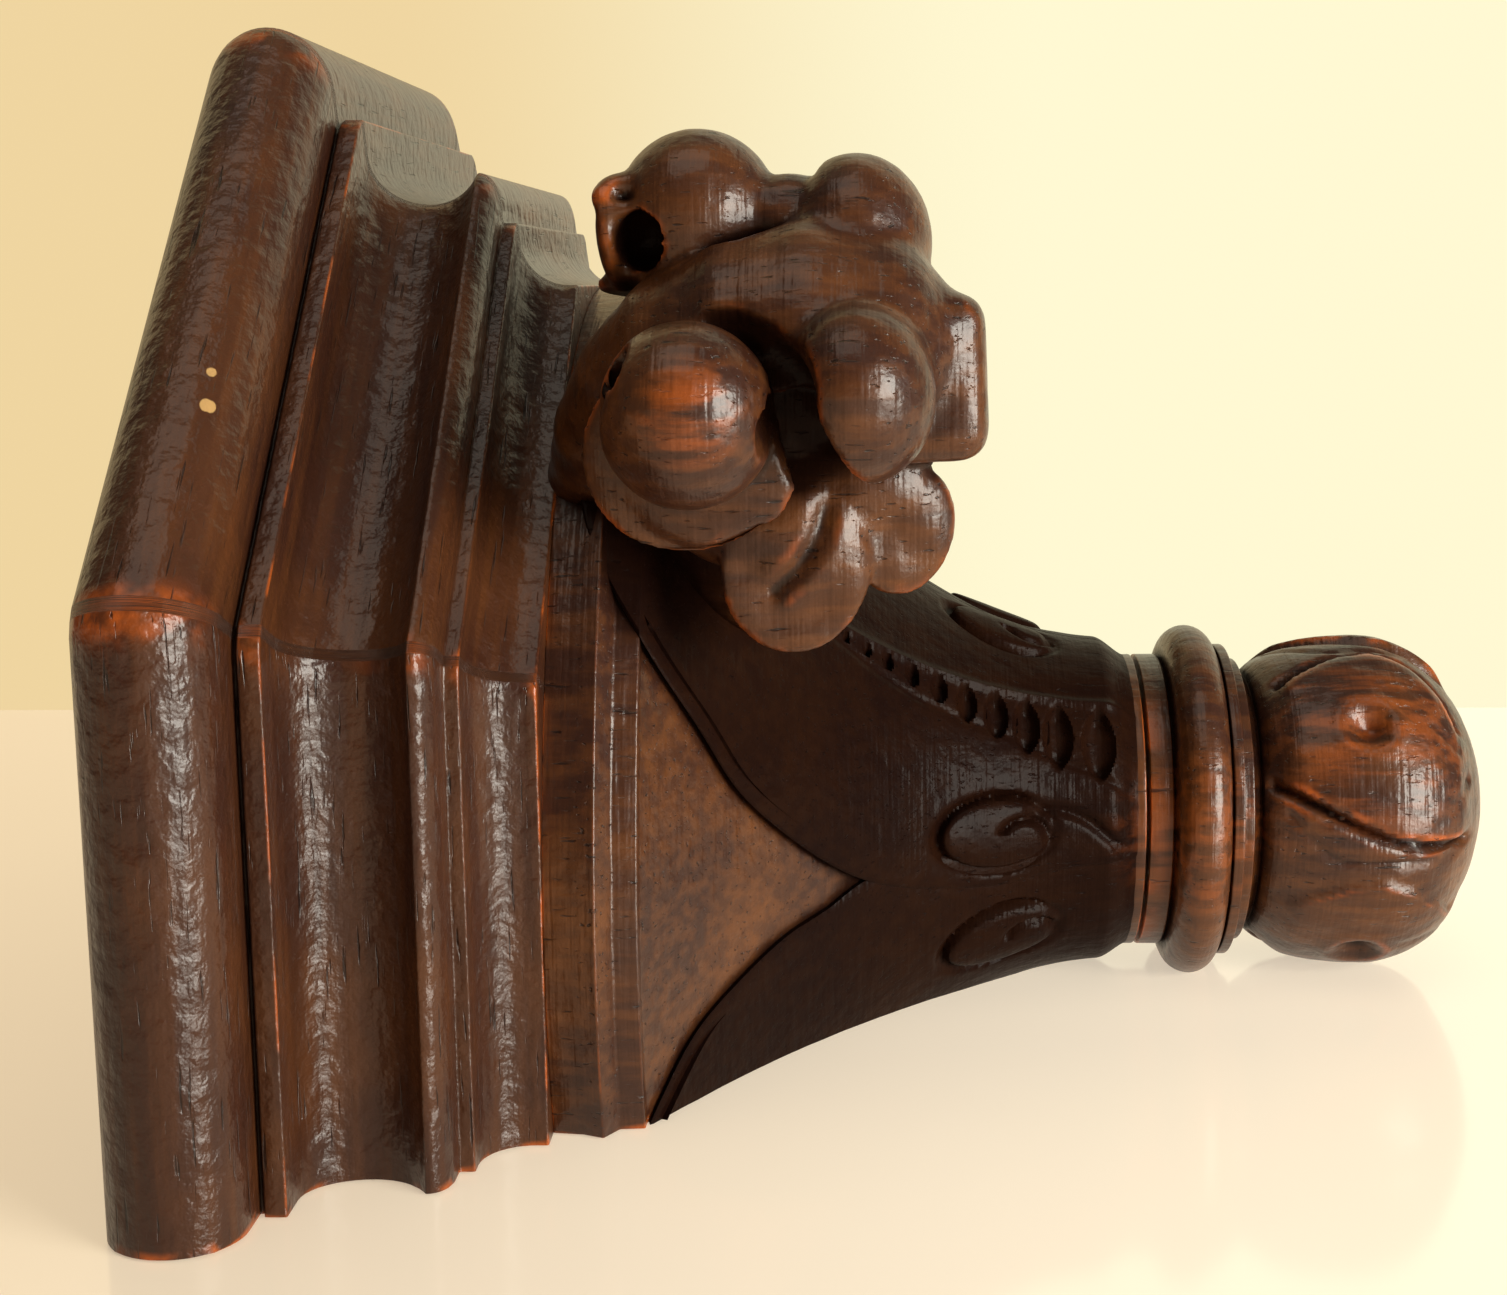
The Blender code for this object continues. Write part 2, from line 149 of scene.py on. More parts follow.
def markWearAndCreases(piece, reachOfWear, strength, share=1.0):
    # edges that hands and dusters rub, and creases that get painted shade: how far a point stands out from
    # the points around it
    points = getPoints(piece)
    smooth = neighbourMean(piece, points, reachOfWear)
    proud = ((points - smooth) * getNormals(piece)).sum(1)
    worn = np.clip(proud / strength, -1.0, 1.0)
    addMark(piece, "worn", share * np.clip(worn, 0.0, 1.0))
    # creases are marked for painted shade
    addMark(piece, "creaseShade", np.clip(-worn, 0.0, 1.0))


def paintShadeInHollows(piece, others, twins=()):
    # painted shade where the carving closes in: the share of rays that hit wood again
    trees = []
    for solid in [piece] + others:
        corners = [vertex.co for vertex in solid.data.vertices]
        trees.append(BVHTree.FromPolygons(corners, [face.vertices for face in solid.data.polygons]))
    points, normals = getPoints(piece), getNormals(piece)
    rays = shadeProbe["rays"]
    spread = []
    for ray in range(rays):
        rise = 1.0 - (ray + 0.5) / rays * shadeProbe["lowest"]
        flat, turn = math.sqrt(1.0 - rise * rise), shadeProbe["turn"] * ray
        spread.append((flat * math.cos(turn), flat * math.sin(turn), rise))
    closed = np.zeros(len(points))
    for index, (point, normal) in enumerate(zip(points, normals)):
        out = Vector(normal)
        side = out.orthogonal().normalized()
        ahead = out.cross(side)
        start = Vector(point) + out * shadeProbe["lift"]
        for x, y, z in spread:
            ray = side * x + ahead * y + out * z
            if any(tree.ray_cast(start, ray, shadeProbe["reach"])[0] is not None for tree in trees):
                closed[index] += 1.0 / rays
    closed = neighbourMean(piece, closed, shadeProbe["softening"])
    for marked in [piece, *twins]:
        addMark(marked, "closed", closed)


def spinOutline(name, outline, top, steps):
    # outline: (radius, drop) pairs in millimetres, turned round the bracket's axis
    bpy.ops.object.select_all(action="DESELECT")
    bpy.ops.mesh.primitive_plane_add(size=0.001)
    piece = newPiece(name)
    bpy.ops.object.mode_set(mode="EDIT")
    bpy.ops.mesh.select_all(action="SELECT")
    bpy.ops.mesh.merge(type="CENTER")
    bpy.ops.mesh.select_all(action="SELECT")
    place = Vector((0.0, 0.0, 0.0))
    for index, (radius, drop) in enumerate(outline):
        target = Vector((radius * mm, axisY, top - drop * mm))
        move = target - place
        if index == 0:
            bpy.ops.transform.translate(value=move)
        else:
            bpy.ops.mesh.extrude_region_move(TRANSFORM_OT_translate={"value": move})
        place = target
    bpy.ops.mesh.select_all(action="SELECT")
    bpy.ops.mesh.spin(steps=steps, angle=2.0 * math.pi, center=(0.0, axisY, 0.0), axis=(0.0, 0.0, 1.0))
    bpy.ops.mesh.select_all(action="SELECT")
    bpy.ops.mesh.remove_doubles(threshold=0.00001)
    bpy.ops.mesh.normals_make_consistent(inside=False)
    bpy.ops.object.mode_set(mode="OBJECT")
    return piece


def arc(start, end, leaveAcross, steps):
    # a quarter of an ellipse between two outline points
    points = []
    for step in range(1, steps + 1):
        turn = 0.5 * math.pi * step / steps
        across, along = math.sin(turn), 1.0 - math.cos(turn)
        if not leaveAcross:
            across, along = along, across
        points.append((start[0] + (end[0] - start[0]) * across, start[1] + (end[1] - start[1]) * along))
    return points


def easeCorners(outline, size, sharpest=24.0):
    # wear every crisp corner of an outline to a small round
    eased = [outline[0]]
    for before, here, after in zip(outline, outline[1:], outline[2:]):
        into = Vector(here) - Vector(before)
        out = Vector(after) - Vector(here)
        if into.length < 1e-6 or out.length < 1e-6 or into.angle(out) < math.radians(sharpest):
            eased.append(here)
            continue
        reach = min(size, 0.45 * into.length, 0.45 * out.length)
        first = Vector(here) - into.normalized() * reach
        last = Vector(here) + out.normalized() * reach
        for share in (0.0, 0.33, 0.67, 1.0):
            point = first.lerp(Vector(here), share).lerp(Vector(here).lerp(last, share), share)
            eased.append((point.x, point.y))
    eased.append(outline[-1])
    return eased


def refine(outline, longest):
    # no stretch of the outline longer than this, so that the surface can be shaped
    dense = [outline[0]]
    for before, here in zip(outline, outline[1:]):
        gap = math.dist(before, here)
        parts = max(1, math.ceil(gap / longest))
        for part in range(1, parts + 1):
            share = part / parts
            reach = before[0] + (here[0] - before[0]) * share
            dense.append((reach, before[1] + (here[1] - before[1]) * share))
    return dense


print("helpers ready")

# moulded shelf: millimetres, reach square to a side and drop from the top
shelf = {
    "sides": 8,
    "columnsPerSide": 56,
    "reach": 142.0,
    "bullnose": 20.0,
    "quirk": (126.3, 0.8),
    "upperFillet": (127.5, 3.4),
    "upperCove": (121.6, 113.7, 17.8),
    "coveDeepest": 0.55,
    "bead": (118.8, 4.0, 5.1),
    "beadProud": 0.8,
    "beadFlat": 0.5,
    "lowerFillet": (110.5, 2.4),
    "lowerCove": (108.0, 100.0, 8.0),
    "endFillet": 1.6,
    "edgeEase": 0.45,
    "longestStretch": 6.0,
    "cornerRub": (0.012, 0.0045),
    "ripple": 0.05,
    "rippleSizes": (9.0, 3.5),
    "keepClear": 1.2,
    "wearAndCreases": (6, 0.0008),
    "boardShift": (0.37, 0.11),       # so that no two sides share a stretch of grain
}


def shelfOutline():
    radius = 0.5 * shelf["bullnose"]
    nose = shelf["reach"] - radius
    points = [(0.0, 0.0), (nose, 0.0)]
    for step in range(1, 25):
        turn = math.pi * step / 24
        points.append((nose + radius * math.sin(turn), radius - radius * math.cos(turn)))
    drop = shelf["bullnose"]
    reach, height = shelf["quirk"]
    fillet, filletHeight = shelf["upperFillet"]
    points += [(reach, drop), (reach, drop + height), (fillet, drop + height)]
    drop += height + filletHeight
    start, floor, height = shelf["upperCove"]
    middle = drop + shelf["coveDeepest"] * height
    points += [(fillet, drop), (start, drop)]
    points += arc((start, drop), (floor, middle), True, 10)
    drop += height
    beadReach, beadHeight, beadDrop = shelf["bead"]
    rise, run = beadReach - shelf["beadProud"] - floor, drop - middle
    sweep = (run * run + rise * rise) / (2.0 * rise)
    for step in range(1, 11):
        along = run * step / 10
        points.append((floor + sweep - math.sqrt(sweep * sweep - along * along), middle + along))
    points += [(beadReach, drop + shelf["beadFlat"])]
    points += arc((beadReach, drop + shelf["beadFlat"]), (beadReach - beadDrop, drop + beadHeight), False, 8)
    drop += beadHeight
    fillet, filletHeight = shelf["lowerFillet"]
    start, end, height = shelf["lowerCove"]
    points += [(fillet, drop)]
    drop += filletHeight
    points += [(fillet, drop), (start, drop)]
    points += arc((start, drop), (end, drop + height), True, 10)
    drop += height + shelf["endFillet"]
    points += [(end, drop), (0.0, drop)]
    return refine(easeCorners(points, shelf["edgeEase"]), shelf["longestStretch"])


def layGrain(piece):
    # places as if each side of the moulding were its own length of board
    points = getPoints(piece)
    across, deep = points[:, 0], points[:, 1] - axisY
    sector = 2.0 * math.pi / shelf["sides"]
    side = np.round(np.arctan2(deep, across) / sector) % shelf["sides"]
    turn = side * sector
    reach = across * np.cos(turn) + deep * np.sin(turn)
    length = deep * np.cos(turn) - across * np.sin(turn)
    shiftAlong, shiftDown = shelf["boardShift"]
    places = np.stack((length + side * shiftAlong, reach, points[:, 2] + side * shiftDown), 1)
    attribute = piece.data.attributes.new("board", "FLOAT_VECTOR", "POINT")
    attribute.data.foreach_set("vector", places.astype(np.float32).ravel())


def makeShelf():
    columns = shelf["sides"] * shelf["columnsPerSide"]
    piece = spinOutline("mouldedShelf", shelfOutline(), shelfBox[1].z, columns)
    points = getPoints(piece)
    # pull the round out to eight flat sides, the corners slightly rubbed down
    across, deep = points[:, 0], points[:, 1] - axisY
    radius = np.hypot(across, deep)
    sector = 2.0 * math.pi / shelf["sides"]
    turn = np.arctan2(deep, across)
    offset = np.abs((turn + 0.5 * sector) % sector - 0.5 * sector)
    square = 1.0 / np.cos(offset)
    rubWidth, rubDepth = shelf["cornerRub"]
    corner = np.clip((offset - 0.5 * sector) / (rubWidth * sector) + 1.0, 0.0, 1.0)
    square -= rubDepth * corner
    points[:, 0] = across * square
    points[:, 1] = axisY + deep * square
    # tool ripples, only inwards
    inwards = getNormals(piece)
    coarse, fine = shelf["rippleSizes"]
    lumps = roughness(points, coarse * mm, 3.0) * 0.6 + roughness(points, fine * mm, 8.0) * 0.4
    clear = shelf["keepClear"] * mm
    height = points[:, 2]
    rippled = (radius > 60 * mm) & (height < shelfBox[1].z - clear) & (height > shelfBox[0].z + clear)
    points -= inwards * (np.abs(lumps) * shelf["ripple"] * mm * rippled)[:, None]
    setPoints(piece, points)
    cutAtWall(piece)
    markWearAndCreases(piece, *shelf["wearAndCreases"])
    layGrain(piece)
    return piece


mouldedShelf = makeShelf()
print("shelf moulded", len(mouldedShelf.data.polygons))

# bell body: drum, ridge, fillet and hollow trumpet
bell = {
    "drum": (100.0, 8.3),
    "bulge": (0.6, 5.0),
    "ridge": 2.0,
    "ridgeFoot": (0.4, 2.2),
    "band": (98.0, 6.2),
    "step": 2.2,
    "height": 86.0,
    "hollow": 2.25,
    "neck": 28.1,
    "steps": 90,
    "columns": 200,
    "edgeEase": 0.4,
    "lumps": (7.0, 0.09),
    "wearAndCreases": (4, 0.0008),
}
bellStart = bell["drum"][1] + bell["band"][1]


def bellRadius(drop):
    share = np.clip((np.asarray(drop, dtype=float) - bellStart) / bell["height"], 0.0, 1.0)
    top = bell["band"][0] - bell["step"]
    return bell["neck"] + (top - bell["neck"]) * (1.0 - share) ** bell["hollow"]


def makeBell():
    drumRadius, drumHeight = bell["drum"]
    band, bandHeight = bell["band"]
    bulge, bulgeDrop = bell["bulge"]
    footProud, footHeight = bell["ridgeFoot"]
    outline = [(0.0, 0.0), (drumRadius, 0.0), (drumRadius + bulge, bulgeDrop),
               (drumRadius + bell["ridge"], drumHeight), (band + footProud, drumHeight + footHeight),
               (band, drumHeight + bandHeight), (band - bell["step"], drumHeight + bandHeight)]
    for step in range(1, bell["steps"] + 1):
        drop = bellStart + bell["height"] * step / bell["steps"]
        outline.append((float(bellRadius(drop)), drop))
    outline.append((0.0, bellStart + bell["height"]))
    piece = spinOutline("bellBody", easeCorners(outline, bell["edgeEase"]), bodyTop, bell["columns"])
    points = getPoints(piece)
    lumpSize, lumpDepth = bell["lumps"]
    lumps = roughness(points, lumpSize * mm, 5.0)
    lumpy = (points[:, 2] < bodyTop - 1 * mm) & (points[:, 2] > bodyBox[0].z + 1 * mm)
    points -= getNormals(piece) * (np.abs(lumps) * lumpDepth * mm * lumpy)[:, None]
    setPoints(piece, points)
    cutAtWall(piece)
    markWearAndCreases(piece, *bell["wearAndCreases"])
    return piece


bellBody = makeBell()
print("bell turned", len(bellBody.data.polygons))

# leaves that lie on the bell: drops in millimetres, turns in degrees from the side towards the front
headedLeaf = {
    "middle": 45.0,
    "drops": (2.0, 3.9, 6.9, 13.7, 22.4, 28.4, 36.3, 49.7, 60.4, 73.3, 84.3, 100.3),
    "nearTurns": (1.5, 3.2, 9.0, 16.3, 23.8, 30.6, 37.3, 48.2, 54.1, 58.5, 56.3, 54.0),
    "bandDrops": (2.0, 45.0, 56.4, 75.0, 91.3, 100.3),
    "bandTurns": (0.5, 3.0, 7.8, 13.5, 24.0, 34.0),
    "frontGap": 0.35,
    "edge": 2.7,
    "swell": 0.9,
    "ridge": 5.2,
    # gouged notches beside the ridge: drop, half width and length
    "notches": ((46.0, 0.7, 1.8), (49.5, 0.9, 2.4), (53.2, 1.1, 3.1), (57.6, 1.5, 4.0), (62.4, 1.9, 5.2),
                (67.4, 2.3, 6.8), (72.8, 2.7, 8.4), (78.3, 3.0, 10.0), (84.1, 3.4, 11.8), (91.6, 3.8, 13.2)),
    "notchDepth": 2.4,
    # eyes (drop, turn from the midrib towards the wall, size, side of the hook) and the tail of the near one
    "eyes": ((72.6, 42.0, 10.2, -1.0), (75.0, -30.0, 9.5, 1.0)),
    "tail": ((79.0, 36.5), (84.0, 35.5), (90.0, 40.0), (96.5, 51.0)),
    "rows": 240,
    "crowding": 0.78,        # under 1 the rows crowd together towards the neck
    "columns": 140,
}
wallLeaf = {
    "middle": -45.0,
    "drops": (14.6, 16.9, 21.9, 28.9, 36.1, 42.8, 49.7, 60.0, 80.0, 100.3),
    "nearTurns": (25.5, 27.7, 31.9, 34.8, 37.4, 38.9, 42.0, 43.0, 44.0, 44.0),
    "edge": 2.1,
    "swell": 0.8,
    "eyes": ((74.0, -13.0, 10.4, -1.0),),
    "rows": 150,
    "crowding": 0.85,
    "columns": 80,
}


leafCut = {
    "neckFade": (0.7, 7.0),       # the relief runs out above the neck: from how far and over how much
    "edgeDrop": (0.5, 0.7),       # how much the rim is rounded off, and over what width
    "bandShare": 0.25,            # how much of the ridge's height is a broad band and how much is its crest
    "crestShare": 0.5,
    "crestWidth": 0.8,
    "bandGroove": (0.5, 0.7),
    "notchStart": 0.5,
    "notchWidth": 0.85,
    "notchRound": 0.6,
    "notchEnd": 0.7,
    "tail": (1.2, 1.0),
    "cutShade": (0.25, 0.9),       # cuts deeper than this get painted shade, in full after so much more
    # how much painted shade the sunk edge walls get
    "sunkStain": 0.9,
    "belowNeck": 0.35,
    "sunk": 0.8,
    "lumps": (4.0, 0.05),
    "topReach": (100.6, 96.0),    # where the leaf lies on the drum above the bell
    "thickness": 2.6,
    "wearAndCreases": (3, 0.0008, 0.22),
}
eye = {
    "oval": 1.7,
    "proud": 1.5,
    "groove": (2.0, 0.7, 0.95),       # depth, distance out from the button and width
    "opening": (0.35, 0.5, 0.75),     # the groove's end towards the neck: from where, over what and how much
    "hook": (1.6, 0.42, 0.9),         # depth, radius as a share of the eye's size and width
    "hookPlace": (0.50, 0.12),
    "hookOval": 1.4,
    "hookTurn": 0.7,
    "hookLimit": 1.05,
}


def arcOf(turn, radius):
    # the length of a turn in degrees
    return turn * radius / 57.3


def onBell(drop, radius, turn):
    # drop and radius in millimetres, turn in degrees; the near side is -X and the front is -Y
    angle = np.radians(turn)
    y = axisY - radius * np.sin(angle) * mm
    return np.stack((-radius * np.cos(angle) * mm, y, bodyTop - drop * mm), 1)


def smoothPath(path, steps=6):
    # a rounder line through the given places
    places = [Vector(p) for p in path]
    places = [places[0] * 2 - places[1]] + places + [places[-1] * 2 - places[-2]]
    line = []
    for a, b, c, d in zip(places, places[1:], places[2:], places[3:]):
        for step in range(steps):
            t = step / steps
            bend = (2 * a - 5 * b + 4 * c - d) * t * t + (3 * b - a - 3 * c + d) * t ** 3
            line.append(0.5 * ((2 * b) + (c - a) * t + bend))
    line.append(places[-2])
    return [tuple(p) for p in line]


def along(places, values, here):
    # a smooth line through a leaf's measured places
    line = smoothPath([(place, value, 0.0) for place, value in zip(places, values)], 8)
    return np.interp(here, [point[0] for point in line], [point[1] for point in line])


def bump(x):
    return np.exp(-x * x)


def softStep(x):
    x = np.clip(x, 0.0, 1.0)
    return x * x * (3.0 - 2.0 * x)


def eyeHeight(down, side, size):
    # a raised oval button in a ring groove, with a hooked cut that opens towards the neck
    away = np.hypot(down, side * eye["oval"])
    height = eye["proud"] * np.sqrt(np.clip(1.0 - (away / size) ** 2, 0.0, 1.0))
    start, length, share = eye["opening"]
    opening = 1.0 - share * softStep((down / size - start) / length)
    depth, out, width = eye["groove"]
    height -= depth * bump((away - size - out) / width) * opening
    ahead, aside = eye["hookPlace"]
    inner = np.hypot(down - ahead * size, side * eye["hookOval"] + aside * size)
    opened = softStep((np.arctan2(side, down - ahead * size) + eye["hookTurn"]) / eye["hookTurn"])
    depth, reach, width = eye["hook"]
    height -= depth * bump((inner - reach * size) / width) * opened * (away < size * eye["hookLimit"])
    return height


def furrowHeight(drop, arcLength, path, depth, width):
    # a cut along a line of (drop, turn) places
    nearest = np.full(len(drop), 1e9)
    line = smoothPath([(place, turn, 0.0) for place, turn in path], 5)
    stations = [(place, arcOf(turn, float(bellRadius(place)))) for place, turn, _ in line]
    for (a, b), (c, d) in zip(stations, stations[1:]):
        share = ((drop - a) * (c - a) + (arcLength - b) * (d - b)) / ((c - a) ** 2 + (d - b) ** 2)
        share = np.clip(share, 0.0, 1.0)
        nearest = np.minimum(nearest, np.hypot(drop - a - share * (c - a), arcLength - b - share * (d - b)))
    return -depth * bump(nearest / width)


def leafHeight(leaf, drop, turn, near, headed):
    radius = bellRadius(drop)
    arcLength = arcOf(turn, radius)
    share = np.clip(turn / near, -1.0, 1.0)
    fadeEnd, fadeLength = leafCut["neckFade"]
    fade = softStep((bodyHeight / mm - fadeEnd - drop) / fadeLength)
    height = leaf["edge"] + leaf["swell"] * (1.0 - share ** 2)
    edgeDrop, edgeWidth = leafCut["edgeDrop"]
    height -= edgeDrop * softStep(1.0 - arcOf(near - np.abs(turn), radius) / edgeWidth)
    plain = height.copy()
    if headed:
        band = np.interp(drop, leaf["bandDrops"], leaf["bandTurns"])
        inBand = np.clip(np.abs(turn) / band, 0.0, 1.6)
        crest = leaf["ridge"] - leaf["edge"] - leaf["swell"]
        broad = leafCut["bandShare"] * (1.0 - softStep(inBand))
        height += crest * (broad + leafCut["crestShare"] * bump(arcLength / leafCut["crestWidth"]))
        depth, width = leafCut["bandGroove"]
        height -= depth * bump(arcOf((inBand - 1.0) * band, radius) / width) * (turn > 0.0)
        for notchDrop, halfWidth, length in leaf["notches"]:
            # an almond-shaped gouge cut beside the ridge
            middle = leafCut["notchStart"] + 0.5 * length
            across = (arcLength - middle) / (0.5 * length)
            width = np.clip(1.0 - across ** 2, 0.0001, 1.0)
            away = (drop - notchDrop) / (leafCut["notchWidth"] * halfWidth * width)
            cut = np.clip(1.0 - away ** 2, 0.0, 1.0) ** leafCut["notchRound"]
            height -= leaf["notchDepth"] * cut * softStep(width / leafCut["notchEnd"])
    for eyeDrop, eyeTurn, size, hookSide in leaf["eyes"]:
        height += eyeHeight(drop - eyeDrop, arcOf(turn - eyeTurn, radius) * hookSide, size)
    if headed:
        height += furrowHeight(drop, arcLength, leaf["tail"], *leafCut["tail"])
    # the deeper cuts get painted shade
    least, more = leafCut["cutShade"]
    hollow = np.clip((plain - height - least) / more, 0.0, 1.0)
    return height * fade - leafCut["belowNeck"] * (1.0 - fade), hollow * fade


def makeLeaf(name, leaf, headed):
    bpy.ops.object.select_all(action="DESELECT")
    bpy.ops.mesh.primitive_grid_add(x_subdivisions=leaf["columns"], y_subdivisions=leaf["rows"], size=2.0)
    piece = newPiece(name)
    flat = getPoints(piece)
    across, down = flat[:, 0], (0.5 * (flat[:, 1] + 1.0)) ** leaf["crowding"]
    first, last = leaf["drops"][0], leaf["drops"][-1]
    drop = first + (last - first) * down
    near = along(leaf["drops"], leaf["nearTurns"], drop)
    # two extra lines at each long edge turn down into the bell
    lip = 2.0 * 2.0 / leaf["columns"]
    inner = np.clip(across / (1.0 - lip), -1.0, 1.0)
    sunk = softStep((np.abs(across) - (1.0 - lip)) / lip)
    side = near * inner
    if headed:
        far = np.minimum(near, leaf["middle"] - leaf["frontGap"])
        side = np.where(inner > 0.0, far * inner, near * inner)
    height, hollow = leafHeight(leaf, drop, -side, near, headed)
    # the sunk edge walls get painted shade as well
    hollow = np.maximum(hollow, leafCut["sunkStain"] * sunk)
    lumpSize, lumpHeight = leafCut["lumps"]
    flat = np.stack((drop, arcOf(side, bellRadius(drop)), drop * 0.0), 1)
    height += lumpHeight * roughness(flat, lumpSize, 11.0)
    onDrum = np.interp(drop, (0.0, bellStart), leafCut["topReach"])
    surface = np.where(drop < bellStart, onDrum, bellRadius(drop))
    radius = surface + height * (1.0 - sunk) - leafCut["sunk"] * sunk
    laid = onBell(drop, radius, leaf["middle"] + side)
    setPoints(piece, laid)
    thickness = leafCut["thickness"] * mm
    applyModifier(piece, "SOLIDIFY", thickness=thickness, offset=1.0, use_even_offset=False)
    faceOutwards(piece)
    cutAtWall(piece)
    markWearAndCreases(piece, *leafCut["wearAndCreases"])
    # the painted shade of the cuts: each point takes it from the nearest one of the sheet
    tree = KDTree(len(laid))
    for index, place in enumerate(laid):
        tree.insert(place, index)
    tree.balance()
    addMark(piece, "hollow", np.array([hollow[tree.find(place)[1]] for place in getPoints(piece)]))
    return piece


def mirrorCopy(piece, name):
    # the same piece on the other side of the bracket
    selectOnly(piece)
    bpy.ops.object.duplicate(linked=False)
    copy = newPiece(name)
    bpy.ops.transform.resize(value=(-1.0, 1.0, 1.0), center_override=(0.0, 0.0, 0.0))
    bpy.ops.object.transform_apply(location=True, rotation=True, scale=True)
    faceOutwards(copy)
    return copy


nearLeaf = makeLeaf("headedLeafNear", headedLeaf, True)
farLeaf = mirrorCopy(nearLeaf, "headedLeafFar")
nearWallLeaf = makeLeaf("wallLeafNear", wallLeaf, False)
farWallLeaf = mirrorCopy(nearWallLeaf, "wallLeafFar")
print("leaves carved", len(nearLeaf.data.polygons), len(nearWallLeaf.data.polygons))

# curled leaf head, in the leaf's own plane: drop, reach from the axis and side offset, millimetres
head = {
    "voxel": 0.7,
    # the midrib rises off the drum, arches over and ends in the tip: drop, reach, half thickness, half width
    "strap": ((6.0, 98.0, 8.0, 8.0), (9.0, 110.0, 8.5, 9.0), (14.0, 121.0, 9.0, 10.0),
              (21.0, 129.5, 9.5, 11.0), (31.0, 135.0, 10.0, 13.0), (41.0, 136.5, 10.5, 15.0),
              (50.0, 134.0, 11.0, 15.0), (56.0, 126.0, 11.0, 13.0)),
    # lobes: centre, half sizes, tilt in the leaf's plane, roll towards the near side, paired or not
    "hood": ((48.6, 134.5, 15.5), (11.2, 13.4, 12.8), 8.0, 0.0, True),
    "tip": ((57.5, 121.0, 0.0), (10.4, 12.4, 12.4), 3.0, 45.0, False),
    "lobes": {
        "core": ((34.0, 103.0, 0.0), (24.0, 26.0, 14.0), 0.0, 0.0, False),
        "stem": ((30.0, 84.0, 0.0), (20.0, 24.0, 15.0), 0.0, 0.0, False),
        "crown": ((24.2, 135.0, 19.9), (12.9, 14.2, 12.9), 0.0, 0.0, True),
        "crownRoot": ((25.0, 122.0, 15.0), (10.5, 12.0, 8.0), 0.0, 0.0, True),
        "collar": ((24.0, 125.0, 18.6), (16.6, 15.4, 2.9), 10.0, -40.0, True),
        "lip": ((16.4, 140.0, -18.0), (8.0, 4.6, 5.0), -20.0, 0.0, False),
        "lipTip": ((12.8, 141.8, -16.8), (4.4, 2.6, 3.0), -22.0, 0.0, False),
        "farRim": ((11.6, 134.2, -15.5), (2.4, 8.8, 5.5), 6.0, 0.0, False),
        "farWeb": ((38.0, 137.0, -17.0), (9.0, 7.5, 7.0), 0.0, 0.0, False),
        "spoon": ((38.8, 104.5, 23.4), (11.8, 13.8, 3.6), -6.0, -40.0, True),
        "web": ((46.0, 109.0, 13.5), (14.0, 11.0, 5.0), 0.0, -40.0, True),
        "neckLobe": ((31.5, 108.5, 14.5), (13.0, 10.0, 6.5), 0.0, -40.0, True),
        "smallLobe": ((55.2, 105.0, 16.6), (8.2, 10.5, 3.6), -16.0, -40.0, True),
    },
    "cavities": {
        "underHood": ((40.6, 130.5, 23.5), (6.6, 21.0, 15.5), 26.0, 0.0, True),
        "underRim": ((27.5, 142.0, 23.5), (15.5, 16.0, 17.0), 0.0, 0.0, True),
    },
    "lateCuts": {
        "notch": ((17.0, 138.0, -12.6), (4.6, 5.6, 4.2), -10.0, 15.0, False),
        "nearNotch": ((14.6, 143.4, 18.0), (2.6, 5.4, 3.8), 30.0, 0.0, False),
        "deepHollow": ((41.6, 126.0, 23.5), (3.6, 15.5, 14.0), 26.0, 0.0, True),
    },
    "blend": 20,
    "ease": 3,
    "tipBevel": (4.2, 5),
    "toolMarks": (4.0, 0.12),
    "wearAndCreases": (6, 0.00035),
}


def addLobe(name, centre, sizes, tilt, roll, box=False):
    # local axes: X down the bell, Y out from it, Z to the near side
    bpy.ops.object.select_all(action="DESELECT")
    place = tuple(value * mm for value in centre)
    scale = tuple(value * mm for value in sizes)
    turn = (math.radians(roll), 0.0, math.radians(tilt))
    if box:
        bpy.ops.mesh.primitive_cube_add(size=2.0, location=place, rotation=turn, scale=scale)
    else:
        bpy.ops.mesh.primitive_uv_sphere_add(segments=40, ring_count=24, radius=1.0, location=place,
                                             rotation=turn, scale=scale)
    lobe = newPiece(name)
    bpy.ops.object.transform_apply(location=True, rotation=True, scale=True)
    if box:
        width, segments = head["tipBevel"]
        applyModifier(lobe, "BEVEL", width=width * mm, segments=segments, limit_method="NONE")
    return lobe


def addPair(name, lobe):
    # a lobe on the near side and, if it is paired, its match on the far side
    centre, sizes, tilt, roll, paired = lobe
    made = [addLobe(name, centre, sizes, tilt, roll, box=(name == "tip"))]
    if paired:
        made.append(addLobe(name, (centre[0], centre[1], -centre[2]), sizes, tilt, -roll))
    return made


def cutAway(piece, cutters):
    cutter = joinPieces(cutters, "hollow")
    applyModifier(piece, "BOOLEAN", operation="DIFFERENCE", solver="EXACT", object=cutter)
    bpy.data.objects.remove(cutter, do_unlink=True)


def joinPieces(pieces, name):
    bpy.ops.object.select_all(action="DESELECT")
    for piece in pieces:
        piece.select_set(True)
    bpy.context.view_layer.objects.active = pieces[0]
    bpy.ops.object.join()
    return newPiece(name)


def carveLine(points, normals, path, width, depth, profile=bump):
    # sink (or raise, if depth is negative) a line through these places
    stations = np.array(path, dtype=float) * mm
    nearest = np.full(len(points), 1e9)
    for start, end in zip(stations, stations[1:]):
        run = end - start
        share = np.clip(((points - start) @ run) / (run @ run), 0.0, 1.0)
        nearest = np.minimum(nearest, np.linalg.norm(points - (start + share[:, None] * run), axis=1))
    return points - normals * (depth * mm * profile(nearest / (width * mm)))[:, None]


